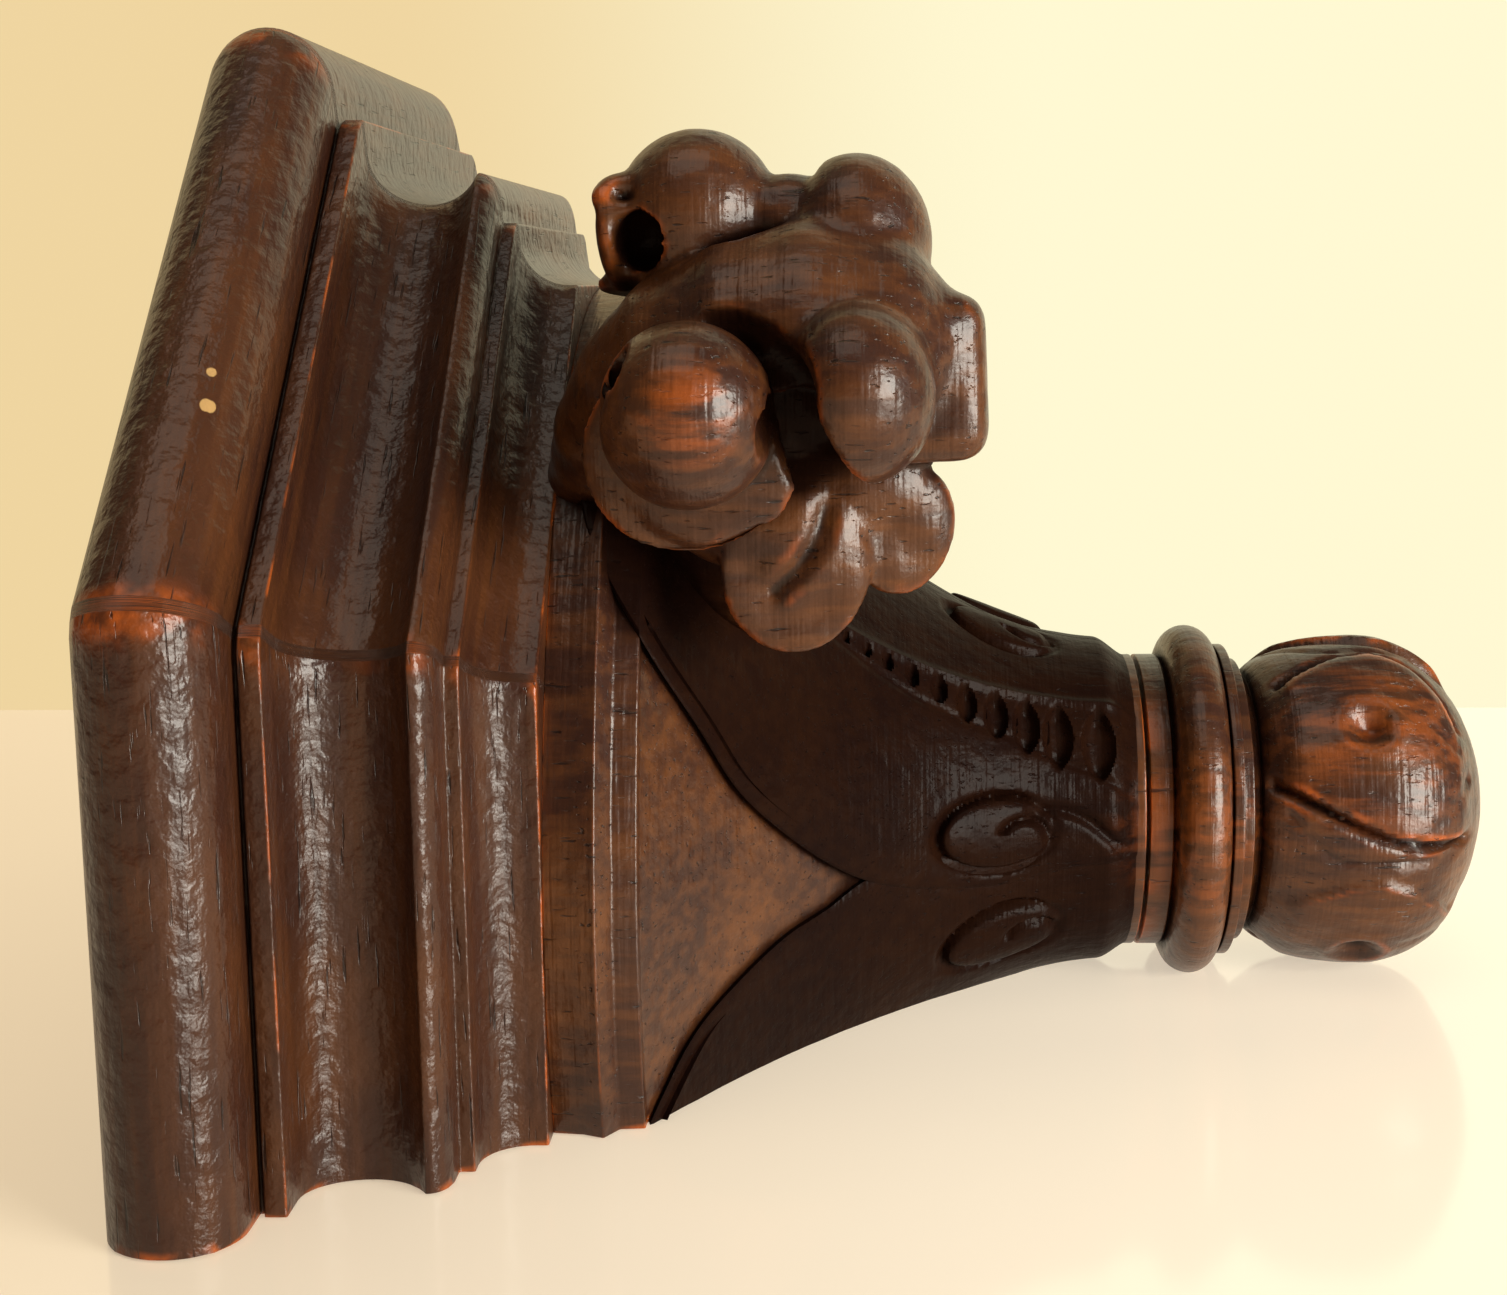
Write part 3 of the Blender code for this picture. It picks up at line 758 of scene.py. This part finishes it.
headLines = {
    # places, width and depth; a line with a depth under 0 is raised
    "vein": ([(45.5, 118.0, 16.0), (44.2, 114.5, 19.5), (42.6, 111.5, 23.5), (40.0, 108.5, 26.5),
              (35.8, 105.0, 29.5)], 1.7, 3.4),
    "veinLip": ([(47.0, 113.0, 21.0), (45.0, 109.5, 25.0), (42.0, 106.0, 28.5), (38.0, 103.0, 30.5)],
                1.4, -0.8),
    "collarDish": ([(12.2, 140.0, 20.0), (10.6, 131.0, 22.0), (12.6, 122.5, 25.5), (18.0, 116.0, 28.0),
                    (26.0, 114.0, 29.0), (34.0, 117.0, 27.0)], 2.2, 1.4),
    "rimNotch": ([(13.4, 146.6, 14.0), (13.8, 143.6, 16.5), (14.6, 140.0, 18.6)], 1.5, 2.6),
    "spoonDish": ([(32.0, 106.5, 27.0), (36.0, 101.5, 30.5), (43.0, 101.5, 30.5)], 4.2, 1.9),
    "spoonRim": ([(27.4, 108.0, 24.5), (28.2, 101.0, 29.5), (32.5, 96.5, 33.0), (39.5, 94.5, 34.5),
                  (46.0, 97.0, 32.5), (50.2, 102.0, 28.5)], 1.0, -0.7),
    "smallDish": ([(53.5, 107.5, 18.5), (57.5, 104.0, 21.0)], 3.4, 1.0),
    "strapRim": ([(15.0, 135.5, 8.0), (21.0, 141.0, 7.0), (29.0, 145.0, 6.8), (38.0, 147.0, 8.5)], 1.4, -0.7),
}


def leafPlane(side):
    # from the head's own axes to the bracket's: side -1 is the near head, +1 the far one
    turn = math.radians(headedLeaf["middle"])
    down = Vector((0.0, 0.0, -1.0))
    out = Vector((side * math.cos(turn), -math.sin(turn), 0.0))
    across = Vector((side * math.sin(turn), math.cos(turn), 0.0))
    axes = Matrix((down, out, across)).transposed().to_4x4()
    return Matrix.Translation((0.0, axisY, bodyTop)) @ axes


def makeHead():
    strap = head["strap"]
    mass = []
    for (drop, reach, thick, wide), (nextDrop, nextReach, nextThick, nextWide) in zip(strap, strap[1:]):
        for share in (0.0, 0.5):
            place = (drop + (nextDrop - drop) * share, reach + (nextReach - reach) * share, 0.0)
            thickness = thick + (nextThick - thick) * share
            width = wide + (nextWide - wide) * share
            mass.append(addLobe("strap", place, (thickness, thickness, width), 0.0, 0.0))
    mass += addPair("hood", head["hood"]) + addPair("tip", head["tip"])
    blank = joinPieces(mass, "leafHeadNear")
    applyModifier(blank, "REMESH", mode="VOXEL", voxel_size=head["voxel"] * mm)
    applyModifier(blank, "SMOOTH", factor=0.5, iterations=head["blend"])
    for name, hollow in head["cavities"].items():
        cutAway(blank, addPair(name, hollow))
    rest = [blank]
    for name, lobe in head["lobes"].items():
        rest += addPair(name, lobe)
    blank = joinPieces(rest, "leafHeadNear")
    applyModifier(blank, "REMESH", mode="VOXEL", voxel_size=head["voxel"] * mm)
    for name, hollow in head["lateCuts"].items():
        cutAway(blank, addPair(name, hollow))
    applyModifier(blank, "REMESH", mode="VOXEL", voxel_size=head["voxel"] * mm)
    applyModifier(blank, "SMOOTH", factor=0.5, iterations=head["ease"])
    points, normals = getPoints(blank), getNormals(blank)
    for path, width, depth in headLines.values():
        for side in (1.0, -1.0):
            line = [(a, b, c * side) for a, b, c in smoothPath(path)]
            points = carveLine(points, normals, line, width, depth)
    markSize, markDepth = head["toolMarks"]
    points -= normals * (markDepth * mm * np.abs(roughness(points, markSize * mm, 21.0)))[:, None]
    setPoints(blank, points)
    applyModifier(blank, "SMOOTH", factor=0.5, iterations=1)
    blank.data.transform(leafPlane(-1.0))
    faceOutwards(blank)
    markWearAndCreases(blank, *head["wearAndCreases"])
    return blank


nearHead = makeHead()
farHead = mirrorCopy(nearHead, "leafHeadFar")
print("heads carved", len(nearHead.data.polygons))

# turned finial with a carved bud
finial = {
    "band": (28.1, 4.2),
    "quirk": 1.0,
    "ring": (33.7, 9.6),
    "collars": ((30.0, 2.2), (27.2, 2.2)),
    "throat": (24.0, 1.8),
    "bud": (30.6, 21.5, 23.0),
    "columns": 220,
    "petals": 4,
    "petalMiddle": 37.0,
    "petalProud": 1.1,
    "petalEdge": 1.6,
    "petalStart": (0.95, 0.3),
    "petalEnd": (0.80, 0.25),
    "quirkHeight": 0.8,
    "slope": 0.3,
    "ringSteps": 18,
    "budLift": 0.4,
    "edgeEase": (0.3, 35.0),
    "lumps": (6.0, 0.2),
    "wearAndCreases": (5, 0.0006),
}
petalLines = {
    # along the bud from -1 at the throat over 0 at its widest to 1 at its end, degrees from a petal's middle
    "archOuter": ([(-0.80, 25.0), (-0.60, 30.0), (-0.30, 36.0), (0.00, 38.0), (0.25, 33.0), (0.50, 22.0),
                   (0.62, 8.0)], 1.15, 1.8),
    "archLip": ([(-0.70, 20.0), (-0.30, 29.0), (0.00, 31.0), (0.25, 25.0), (0.42, 15.0)], 1.5, -0.5),
    "foldUnder": ([(-0.93, -19.0), (-0.70, -24.0), (-0.30, -33.0), (0.05, -39.0), (0.40, -42.0),
                   (0.70, -43.0)], 1.0, 1.8),
    "foldStrip": ([(-0.80, -30.0), (-0.40, -46.0), (0.10, -47.0), (0.60, -48.0)], 0.8, 0.7),
    "wave": ([(0.00, 18.0), (0.18, 5.0), (0.40, 2.0), (0.58, -4.0)], 1.0, 1.1),
    "tail": ([(0.35, -34.0), (0.55, -26.0), (0.72, -14.0)], 0.9, 0.9),
}
petalDimple = {"place": (-0.12, 1.0), "size": 4.2, "depth": 3.2, "lip": 0.5, "lipAt": 1.25, "lipWidth": 0.35}


def makeFinial():
    radius, height = finial["band"]
    slope, steps = finial["slope"], finial["ringSteps"]
    outline = [(0.0, 0.0), (radius, 0.0), (radius, height), (radius - finial["quirk"], height + slope)]
    drop = height + finial["quirkHeight"]
    ringRadius, ringHeight = finial["ring"]
    half = 0.5 * ringHeight
    for step in range(steps + 1):
        turn = math.pi * step / steps
        outline.append((ringRadius - half + half * math.sin(turn), drop + half - half * math.cos(turn)))
    drop += ringHeight
    for collarRadius, collarHeight in finial["collars"]:
        outline += [(collarRadius, drop + slope), (collarRadius, drop + collarHeight)]
        drop += collarHeight
    throat, throatHeight = finial["throat"]
    outline += arc((collarRadius, drop), (throat, drop + throatHeight), True, 5)
    budRadius, shoulder, belly = finial["bud"]
    start = drop + throatHeight
    widest = start + shoulder
    outline += arc((throat, start), (budRadius, widest), True, 34)
    outline += arc((budRadius, widest), (0.0, widest + belly), False, 44)
    top = finialBox[1].z
    piece = spinOutline("turnedFinial", easeCorners(outline, *finial["edgeEase"]), top, finial["columns"])
    points, normals = getPoints(piece), getNormals(piece)
    isBud = points[:, 2] < top - (start + finial["budLift"]) * mm

    def onBud(level, turn):
        # drop follows the level, the radius follows the turned outline
        down = widest + level * (shoulder if level < 0.0 else belly)
        inside = throat if level < 0.0 else 0.0
        reach = inside + (budRadius - inside) * math.sqrt(max(0.0, 1.0 - level * level))
        angle = math.radians(turn)
        return Vector((-reach * math.cos(angle), axisY / mm - reach * math.sin(angle), top / mm - down))

    shaped = points.copy()
    down = (top - points[:, 2]) / mm - widest
    level = down / np.where(down < 0.0, shoulder, belly)
    turn = np.degrees(np.arctan2(axisY - points[:, 1], -points[:, 0]))
    reach = np.hypot(points[:, 0], points[:, 1] - axisY) / mm
    arch, fold = petalLines["archOuter"][0], petalLines["foldUnder"][0]
    petalStart, startLength = finial["petalStart"]
    petalEnd, endLength = finial["petalEnd"]
    for petal in range(finial["petals"]):
        middle = finial["petalMiddle"] + 360.0 * petal / finial["petals"]
        around = (turn - middle + 180.0) % 360.0 - 180.0
        upper = np.interp(level, [place[0] for place in arch], [place[1] for place in arch]) - around
        lower = around - np.interp(level, [place[0] for place in fold], [place[1] for place in fold])
        edge = finial["petalEdge"]
        proud = softStep(arcOf(upper, reach) / edge) * softStep(arcOf(lower, reach) / edge)
        proud *= softStep((level + petalStart) / startLength) * softStep((petalEnd - level) / endLength)
        shaped += normals * (finial["petalProud"] * mm * proud)[:, None]
        for name, (path, width, depth) in petalLines.items():
            if name.startswith("arch") and petal >= 2:
                # the two petals towards the wall are plainer
                continue
            line = smoothPath([tuple(onBud(level, middle + turn)) for level, turn in path], 5)
            shaped = carveLine(shaped, normals, line, width, depth)
        centre = np.array(onBud(petalDimple["place"][0], middle + petalDimple["place"][1])) * mm
        away = np.linalg.norm(points - centre, axis=1) / (petalDimple["size"] * mm)
        shaped -= normals * (petalDimple["depth"] * mm * bump(away) ** 2)[:, None]
        lip = bump((away - petalDimple["lipAt"]) / petalDimple["lipWidth"])
        shaped += normals * (petalDimple["lip"] * mm * lip)[:, None]
    lumpSize, lumpDepth = finial["lumps"]
    shaped -= normals * (lumpDepth * mm * np.abs(roughness(points, lumpSize * mm, 31.0)))[:, None]
    points[isBud] = shaped[isBud]
    setPoints(piece, points)
    cutAtWall(piece)
    markWearAndCreases(piece, *finial["wearAndCreases"])
    return piece


turnedFinial = makeFinial()
print("finial turned", len(turnedFinial.data.polygons))

varnish = {
    # the colour of the pores and of the painted shade
    "poreAndShadeColour": (0.006, 0.0022, 0.0016, 1.0),
    "stain": (0.030, 0.0092, 0.0045, 1.0),
    "brown": (0.116, 0.038, 0.0090, 1.0),
    "rubbed": (0.34, 0.070, 0.009, 1.0),
    "roughness": 0.40,
    "sheen": 0.20,
    "coat": 0.34,
    "coatRoughness": 0.19,
    "patchShare": 0.55,
    "streakShare": 0.45,
    "rubbedEdges": (0.25, 0.95),
    "rubbedShare": 0.85,
    "poreShare": 0.8,
    # painted shade in small creases
    "creaseShadeRange": (0.15, 0.9),
    "creaseShadeShare": 0.75,
    # painted shade in hollows and cuts, which also dulls the coat and sheen there
    "paintedShadeShare": 0.92,
    "shadeDullsCoat": 0.9,
    "paint": (0.42, 0.25, 0.095, 1.0),
    "paintEdge": (0.0016, 0.0003),       # how ragged and how soft
    # place, size in metres and strength
    "rubbedPatches": (((-0.1223, -0.1139, -0.0546), 0.0100, 0.50),
                      ((-0.0250, -0.0493, -0.1720), 0.0240, 0.34),
                      ((-0.0330, -0.0317, -0.1400), 0.0200, 0.30)),
    "splashes": (((-0.1109, -0.1200, 0.0144), 0.0013), ((-0.1151, -0.1155, 0.0140), 0.0017)),
    "streakRelief": 0.25,
    "toolRelief": 0.22,
    "poreRelief": 0.30,
    "bump": (0.6, 0.0009),
}
# noise: scale, detail and the values between which it fades in
figure = {
    "patches": (38.0, 3.0, 0.40, 0.66),
    "streaks": (420.0, 4.0, 0.38, 0.66),
    "pores": (1500.0, 2.0, 0.36, 0.27),
    "uneven wear": (130.0, 3.0, 0.42, 0.62),
    "ripples": (330.0, 3.0),
    "tool marks": (1300.0, 1.0),
}
# the moulding has its grain along each side, the turned and carved pieces have it upright
# paintedShade: over which span of the closed-in mark the painted shade fades in
boards = {"grain": (0.07, 1.0, 1.0), "toolMarks": (0.03, 0.4, 0.4), "lighter": 0.45, "paintedShade": (0.36, 0.95),
          "ripple": 1.1}
carving = {"grain": (1.0, 1.0, 0.10), "toolMarks": (0.05, 0.05, 1.0), "lighter": 0.85, "paintedShade": (0.20, 0.70),
           "ripple": 0.5}


def addNode(tree, kind, inputs, **settings):
    # a node whose inputs hold a value or are linked to the output of another
    node = tree.nodes.new("ShaderNode" + kind)
    for key, value in settings.items():
        setattr(node, key, value)
    for key, value in inputs.items():
        if isinstance(value, bpy.types.NodeSocket):
            tree.links.new(value, node.inputs[key])
        else:
            node.inputs[key].default_value = value
    return node


def makeVarnishedOak(name, cut):
    onBoards = cut is boards
    oak = bpy.data.materials.new(name)
    oak.use_nodes = True
    tree = oak.node_tree
    links, shader = tree.links, tree.nodes["Principled BSDF"]
    shader.inputs["Roughness"].default_value = varnish["roughness"]
    shader.inputs["Coat Roughness"].default_value = varnish["coatRoughness"]
    shader.inputs["IOR"].default_value = 1.5
    bare = addNode(tree, "TexCoord", {}).outputs["Object"]

    def markOf(name, output="Fac"):
        return addNode(tree, "Attribute", {}, attribute_name=name).outputs[output]

    def stretched(scale):
        places = markOf("board", "Vector") if onBoards else bare
        return addNode(tree, "Mapping", {"Vector": places, "Scale": scale}).outputs["Vector"]

    def noiseTexture(vector, label):
        scale, detail = figure[label][:2]
        inputs = {"Vector": vector, "Scale": scale, "Detail": detail}
        return addNode(tree, "TexNoise", inputs, label=label).outputs["Fac"]

    def ramp(value, low, high):
        inputs = {"Value": value, "From Min": low, "From Max": high}
        return addNode(tree, "MapRange", inputs, interpolation_type="SMOOTHSTEP").outputs["Result"]

    def maths(operation, first, second):
        return addNode(tree, "Math", {0: first, 1: second}, operation=operation).outputs[0]

    def times(first, second):
        return maths("MULTIPLY", first, second)

    def mixColour(factor, first, second):
        return addNode(tree, "Mix", {0: factor, 6: first, 7: second}, data_type="RGBA").outputs[2]

    def apartFrom(place):
        return addNode(tree, "VectorMath", {0: bare, 1: place}, operation="DISTANCE").outputs["Value"]

    even, grain = stretched((1.0, 1.0, 1.0)), stretched(cut["grain"])
    streaks = noiseTexture(grain, "streaks")
    patchMask = ramp(noiseTexture(even, "patches"), *figure["patches"][2:])
    streakMask = ramp(streaks, *figure["streaks"][2:])
    poreMask = ramp(noiseTexture(grain, "pores"), *figure["pores"][2:])
    wearMask = ramp(noiseTexture(even, "uneven wear"), *figure["uneven wear"][2:])
    wornMask = ramp(markOf("worn"), *varnish["rubbedEdges"])
    rubbed = times(times(wornMask, wearMask), varnish["rubbedShare"])

    lighter = times(patchMask, varnish["patchShare"])
    lighter = maths("ADD", lighter, times(streakMask, varnish["streakShare"]))
    colour = mixColour(times(lighter, cut["lighter"]), varnish["stain"], varnish["brown"])
    colour = mixColour(rubbed, colour, varnish["rubbed"])
    colour = mixColour(times(poreMask, varnish["poreShare"]), colour, varnish["poreAndShadeColour"])
    # painted shade in small creases
    creaseShade = ramp(markOf("creaseShade"), *varnish["creaseShadeRange"])
    colour = mixColour(times(creaseShade, varnish["creaseShadeShare"]), colour, varnish["poreAndShadeColour"])
    # painted shade in hollows and in the carved cuts, with less coat and sheen there
    paintedShade = maths("MAXIMUM", ramp(markOf("closed"), *cut["paintedShade"]), markOf("hollow"))
    colour = mixColour(times(paintedShade, varnish["paintedShadeShare"]), colour, varnish["poreAndShadeColour"])
    outsideShade = maths("SUBTRACT", 1.0, times(paintedShade, varnish["shadeDullsCoat"]))
    links.new(times(outsideShade, varnish["coat"]), shader.inputs["Coat Weight"])
    links.new(times(outsideShade, varnish["sheen"]), shader.inputs["Specular IOR Level"])

    for place, size, strength in varnish["rubbedPatches"]:
        patch = times(ramp(apartFrom(place), size, 0.3 * size), streakMask)
        colour = mixColour(times(patch, strength), colour, varnish["rubbed"])
    if onBoards:
        # two splashes of old paint on the front left corner
        ragged, soft = varnish["paintEdge"]
        for place, size in varnish["splashes"]:
            uneven = maths("ADD", apartFrom(place), times(streaks, ragged))
            colour = mixColour(ramp(uneven, size + soft, size), colour, varnish["paint"])
    links.new(colour, shader.inputs["Base Color"])

    surface = times(noiseTexture(even, "ripples"), cut["ripple"])
    surface = maths("ADD", surface, times(streaks, varnish["streakRelief"]))
    toolMarks = noiseTexture(stretched(cut["toolMarks"]), "tool marks")
    surface = maths("ADD", surface, times(toolMarks, varnish["toolRelief"]))
    surface = maths("SUBTRACT", surface, times(poreMask, varnish["poreRelief"]))
    strength, distance = varnish["bump"]
    relief = addNode(tree, "Bump", {"Strength": strength, "Distance": distance, "Height": surface})
    links.new(relief.outputs["Normal"], shader.inputs["Normal"])
    links.new(relief.outputs["Normal"], shader.inputs["Coat Normal"])
    return oak


shelfOak = makeVarnishedOak("varnished_oak_moulding", boards)
carvedOak = makeVarnishedOak("varnished_oak_carving", carving)
# painted shade where each piece closes in on itself or on its neighbours
paintShadeInHollows(nearHead, [bellBody, nearLeaf], [farHead])
paintShadeInHollows(nearLeaf, [bellBody, nearHead], [farLeaf])
paintShadeInHollows(nearWallLeaf, [bellBody, nearLeaf], [farWallLeaf])
paintShadeInHollows(bellBody, [nearLeaf, farLeaf, nearWallLeaf, farWallLeaf, nearHead, farHead])
paintShadeInHollows(turnedFinial, [])
paintShadeInHollows(mouldedShelf, [bellBody])
print("hollows found")

carved = (bellBody, nearLeaf, farLeaf, nearWallLeaf, farWallLeaf, nearHead, farHead)
finished = {
    "moulded_shelf": [(mouldedShelf, shelfOak)],
    "carved_body": [(piece, carvedOak) for piece in carved],
    "turned_finial": [(turnedFinial, carvedOak)],
}
smoothBelow = math.radians(38.0)
for node, pieces in finished.items():
    for piece, oak in pieces:
        piece.data.materials.clear()
        piece.data.materials.append(oak)
        selectOnly(piece)
        bpy.ops.object.shade_smooth_by_angle(angle=smoothBelow)
        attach(piece, "root")
        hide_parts(node)
print("oak finished")

shot = {
    "place": (-0.4209, -0.1314, -0.0791),   # the photographer stands to the side of the bracket
    "yaw": math.radians(-3.1),
    "pitch": math.radians(9.4),
    "roll": math.radians(-0.69),
    "lens": 52.4,
    "sensor": 36.0,
}


def makeCamera():
    # the bracket lies on its back: the picture's right is its underside, the picture's top is its front
    turnCos, turnSin = math.cos(shot["yaw"]), math.sin(shot["yaw"])
    dipCos, dipSin = math.cos(shot["pitch"]), math.sin(shot["pitch"])
    ahead = Vector((turnSin * dipCos, turnCos * dipCos, -dipSin))
    across = Vector((turnCos, -turnSin, 0.0))
    upward = across.cross(ahead)
    rollCos, rollSin = math.cos(shot["roll"]), math.sin(shot["roll"])
    right = across * rollCos + upward * rollSin
    top = upward * rollCos - across * rollSin
    axes = [Vector((v.y, -v.z, -v.x)) for v in (right, top, -ahead)]
    bpy.ops.object.camera_add(location=shot["place"])
    camera = bpy.context.object
    camera.matrix_world = Matrix.Translation(shot["place"]) @ Matrix(axes).transposed().to_4x4()
    camera.data.sensor_width = shot["sensor"]
    camera.data.lens = shot["lens"]
    camera.data.clip_start = 0.01
    bpy.context.scene.camera = camera


makeCamera()

studio = {
    "tableY": 0.0004,
    "table": ((0.47, 0.37, 0.26, 1.0), (0.62, 0.54, 0.43, 1.0)),
    "tableSize": 3.0,
    "tableGloss": 0.10,
    "tableGlow": 0.90,
    "tableEdge": 0.256,       # how far behind the bracket's middle the table ends
    "backdrop": ((0.86, 0.66, 0.35, 1.0), (1.0, 0.94, 0.65, 1.0)),
    "backdropGlow": 0.99,
    "tableShade": (0.08, -0.14),       # where the left and the right tones lie
    "backdropShade": (0.59, -0.34),
    "backdropGap": 2.2,       # well behind, so that the other sides can be looked at too
    "backdropY": -0.9,
    "backdropSize": 8.0,
    "backdropGloss": 0.9,
    "backdropShare": 0.05,    # the backdrop glows and takes hardly any light
}


def addPlane(name, place, turn, share):
    # plain paint that glows as painted light and is a little darker on the left of the picture as painted
    # shade
    tones, shades = studio[name], studio[name + "Shade"]
    bpy.ops.object.select_all(action="DESELECT")
    bpy.ops.mesh.primitive_plane_add(size=1.0, location=place, rotation=turn)
    plane = newPiece(name)
    plane.scale = (studio[name + "Size"], studio[name + "Size"], 1.0)
    bpy.ops.object.transform_apply(location=True, rotation=True, scale=True)
    paint = bpy.data.materials.new(name + "Paint")
    paint.use_nodes = True
    tree = paint.node_tree
    shader = tree.nodes["Principled BSDF"]
    bare = addNode(tree, "TexCoord", {}).outputs["Object"]
    height = addNode(tree, "SeparateXYZ", {0: bare}).outputs["Z"]
    inputs = {"Value": height, "From Min": shades[0], "From Max": shades[1]}
    shade = addNode(tree, "MapRange", inputs, interpolation_type="SMOOTHSTEP").outputs["Result"]
    tone = addNode(tree, "Mix", {0: shade, 6: tones[0], 7: tones[1]}, data_type="RGBA")
    # painted light: the plane glows, with painted shade towards the left of the picture
    tree.links.new(tone.outputs[2], shader.inputs["Emission Color"])
    shader.inputs["Base Color"].default_value = tuple(share * value for value in tones[1][:3]) + (1.0,)
    shader.inputs["Roughness"].default_value = studio[name + "Gloss"]
    shader.inputs["Emission Strength"].default_value = studio[name + "Glow"]
    plane.data.materials.append(paint)


upright = math.radians(90.0)
middle = studio["tableEdge"] - 0.5 * studio["tableSize"]
addPlane("table", (middle, studio["tableY"], 0.0), (upright, 0.0, 0.0), 1.0)
farSide = studio["tableEdge"] + studio["backdropGap"]
addPlane("backdrop", (farSide, studio["backdropY"], 0.0), (upright, 0.0, upright), studio["backdropShare"])

# place, target, size, power and colour
lights = {
    "window": ((-0.62, -0.22, -0.80), (0.0, -0.06, -0.08), (0.44, 0.50), 15.0, (1.0, 0.97, 0.87)),
    "room": ((-0.5, -1.3, 0.1), (0.0, -0.05, -0.05), (1.0, 1.0), 4.6, (1.0, 0.92, 0.78)),
}
air = {"colour": (1.0, 0.93, 0.80, 1.0), "strength": 0.09}


def addLight(name, place, target, size, power, colour):
    bpy.ops.object.light_add(type="AREA", location=place)
    light = bpy.context.object
    light.name = name
    light.data.shape = "RECTANGLE"
    light.data.size, light.data.size_y = size
    light.data.energy = power
    light.data.color = colour
    light.rotation_euler = (Vector(target) - Vector(place)).to_track_quat("-Z", "Y").to_euler()


for name, settings in lights.items():
    addLight(name, *settings)

world = bpy.data.worlds.new("studio")
bpy.context.scene.world = world
world.use_nodes = True
background = world.node_tree.nodes["Background"]
background.inputs[0].default_value, background.inputs[1].default_value = air["colour"], air["strength"]
bpy.context.scene.view_settings.view_transform = "Standard"
print("studio lit")
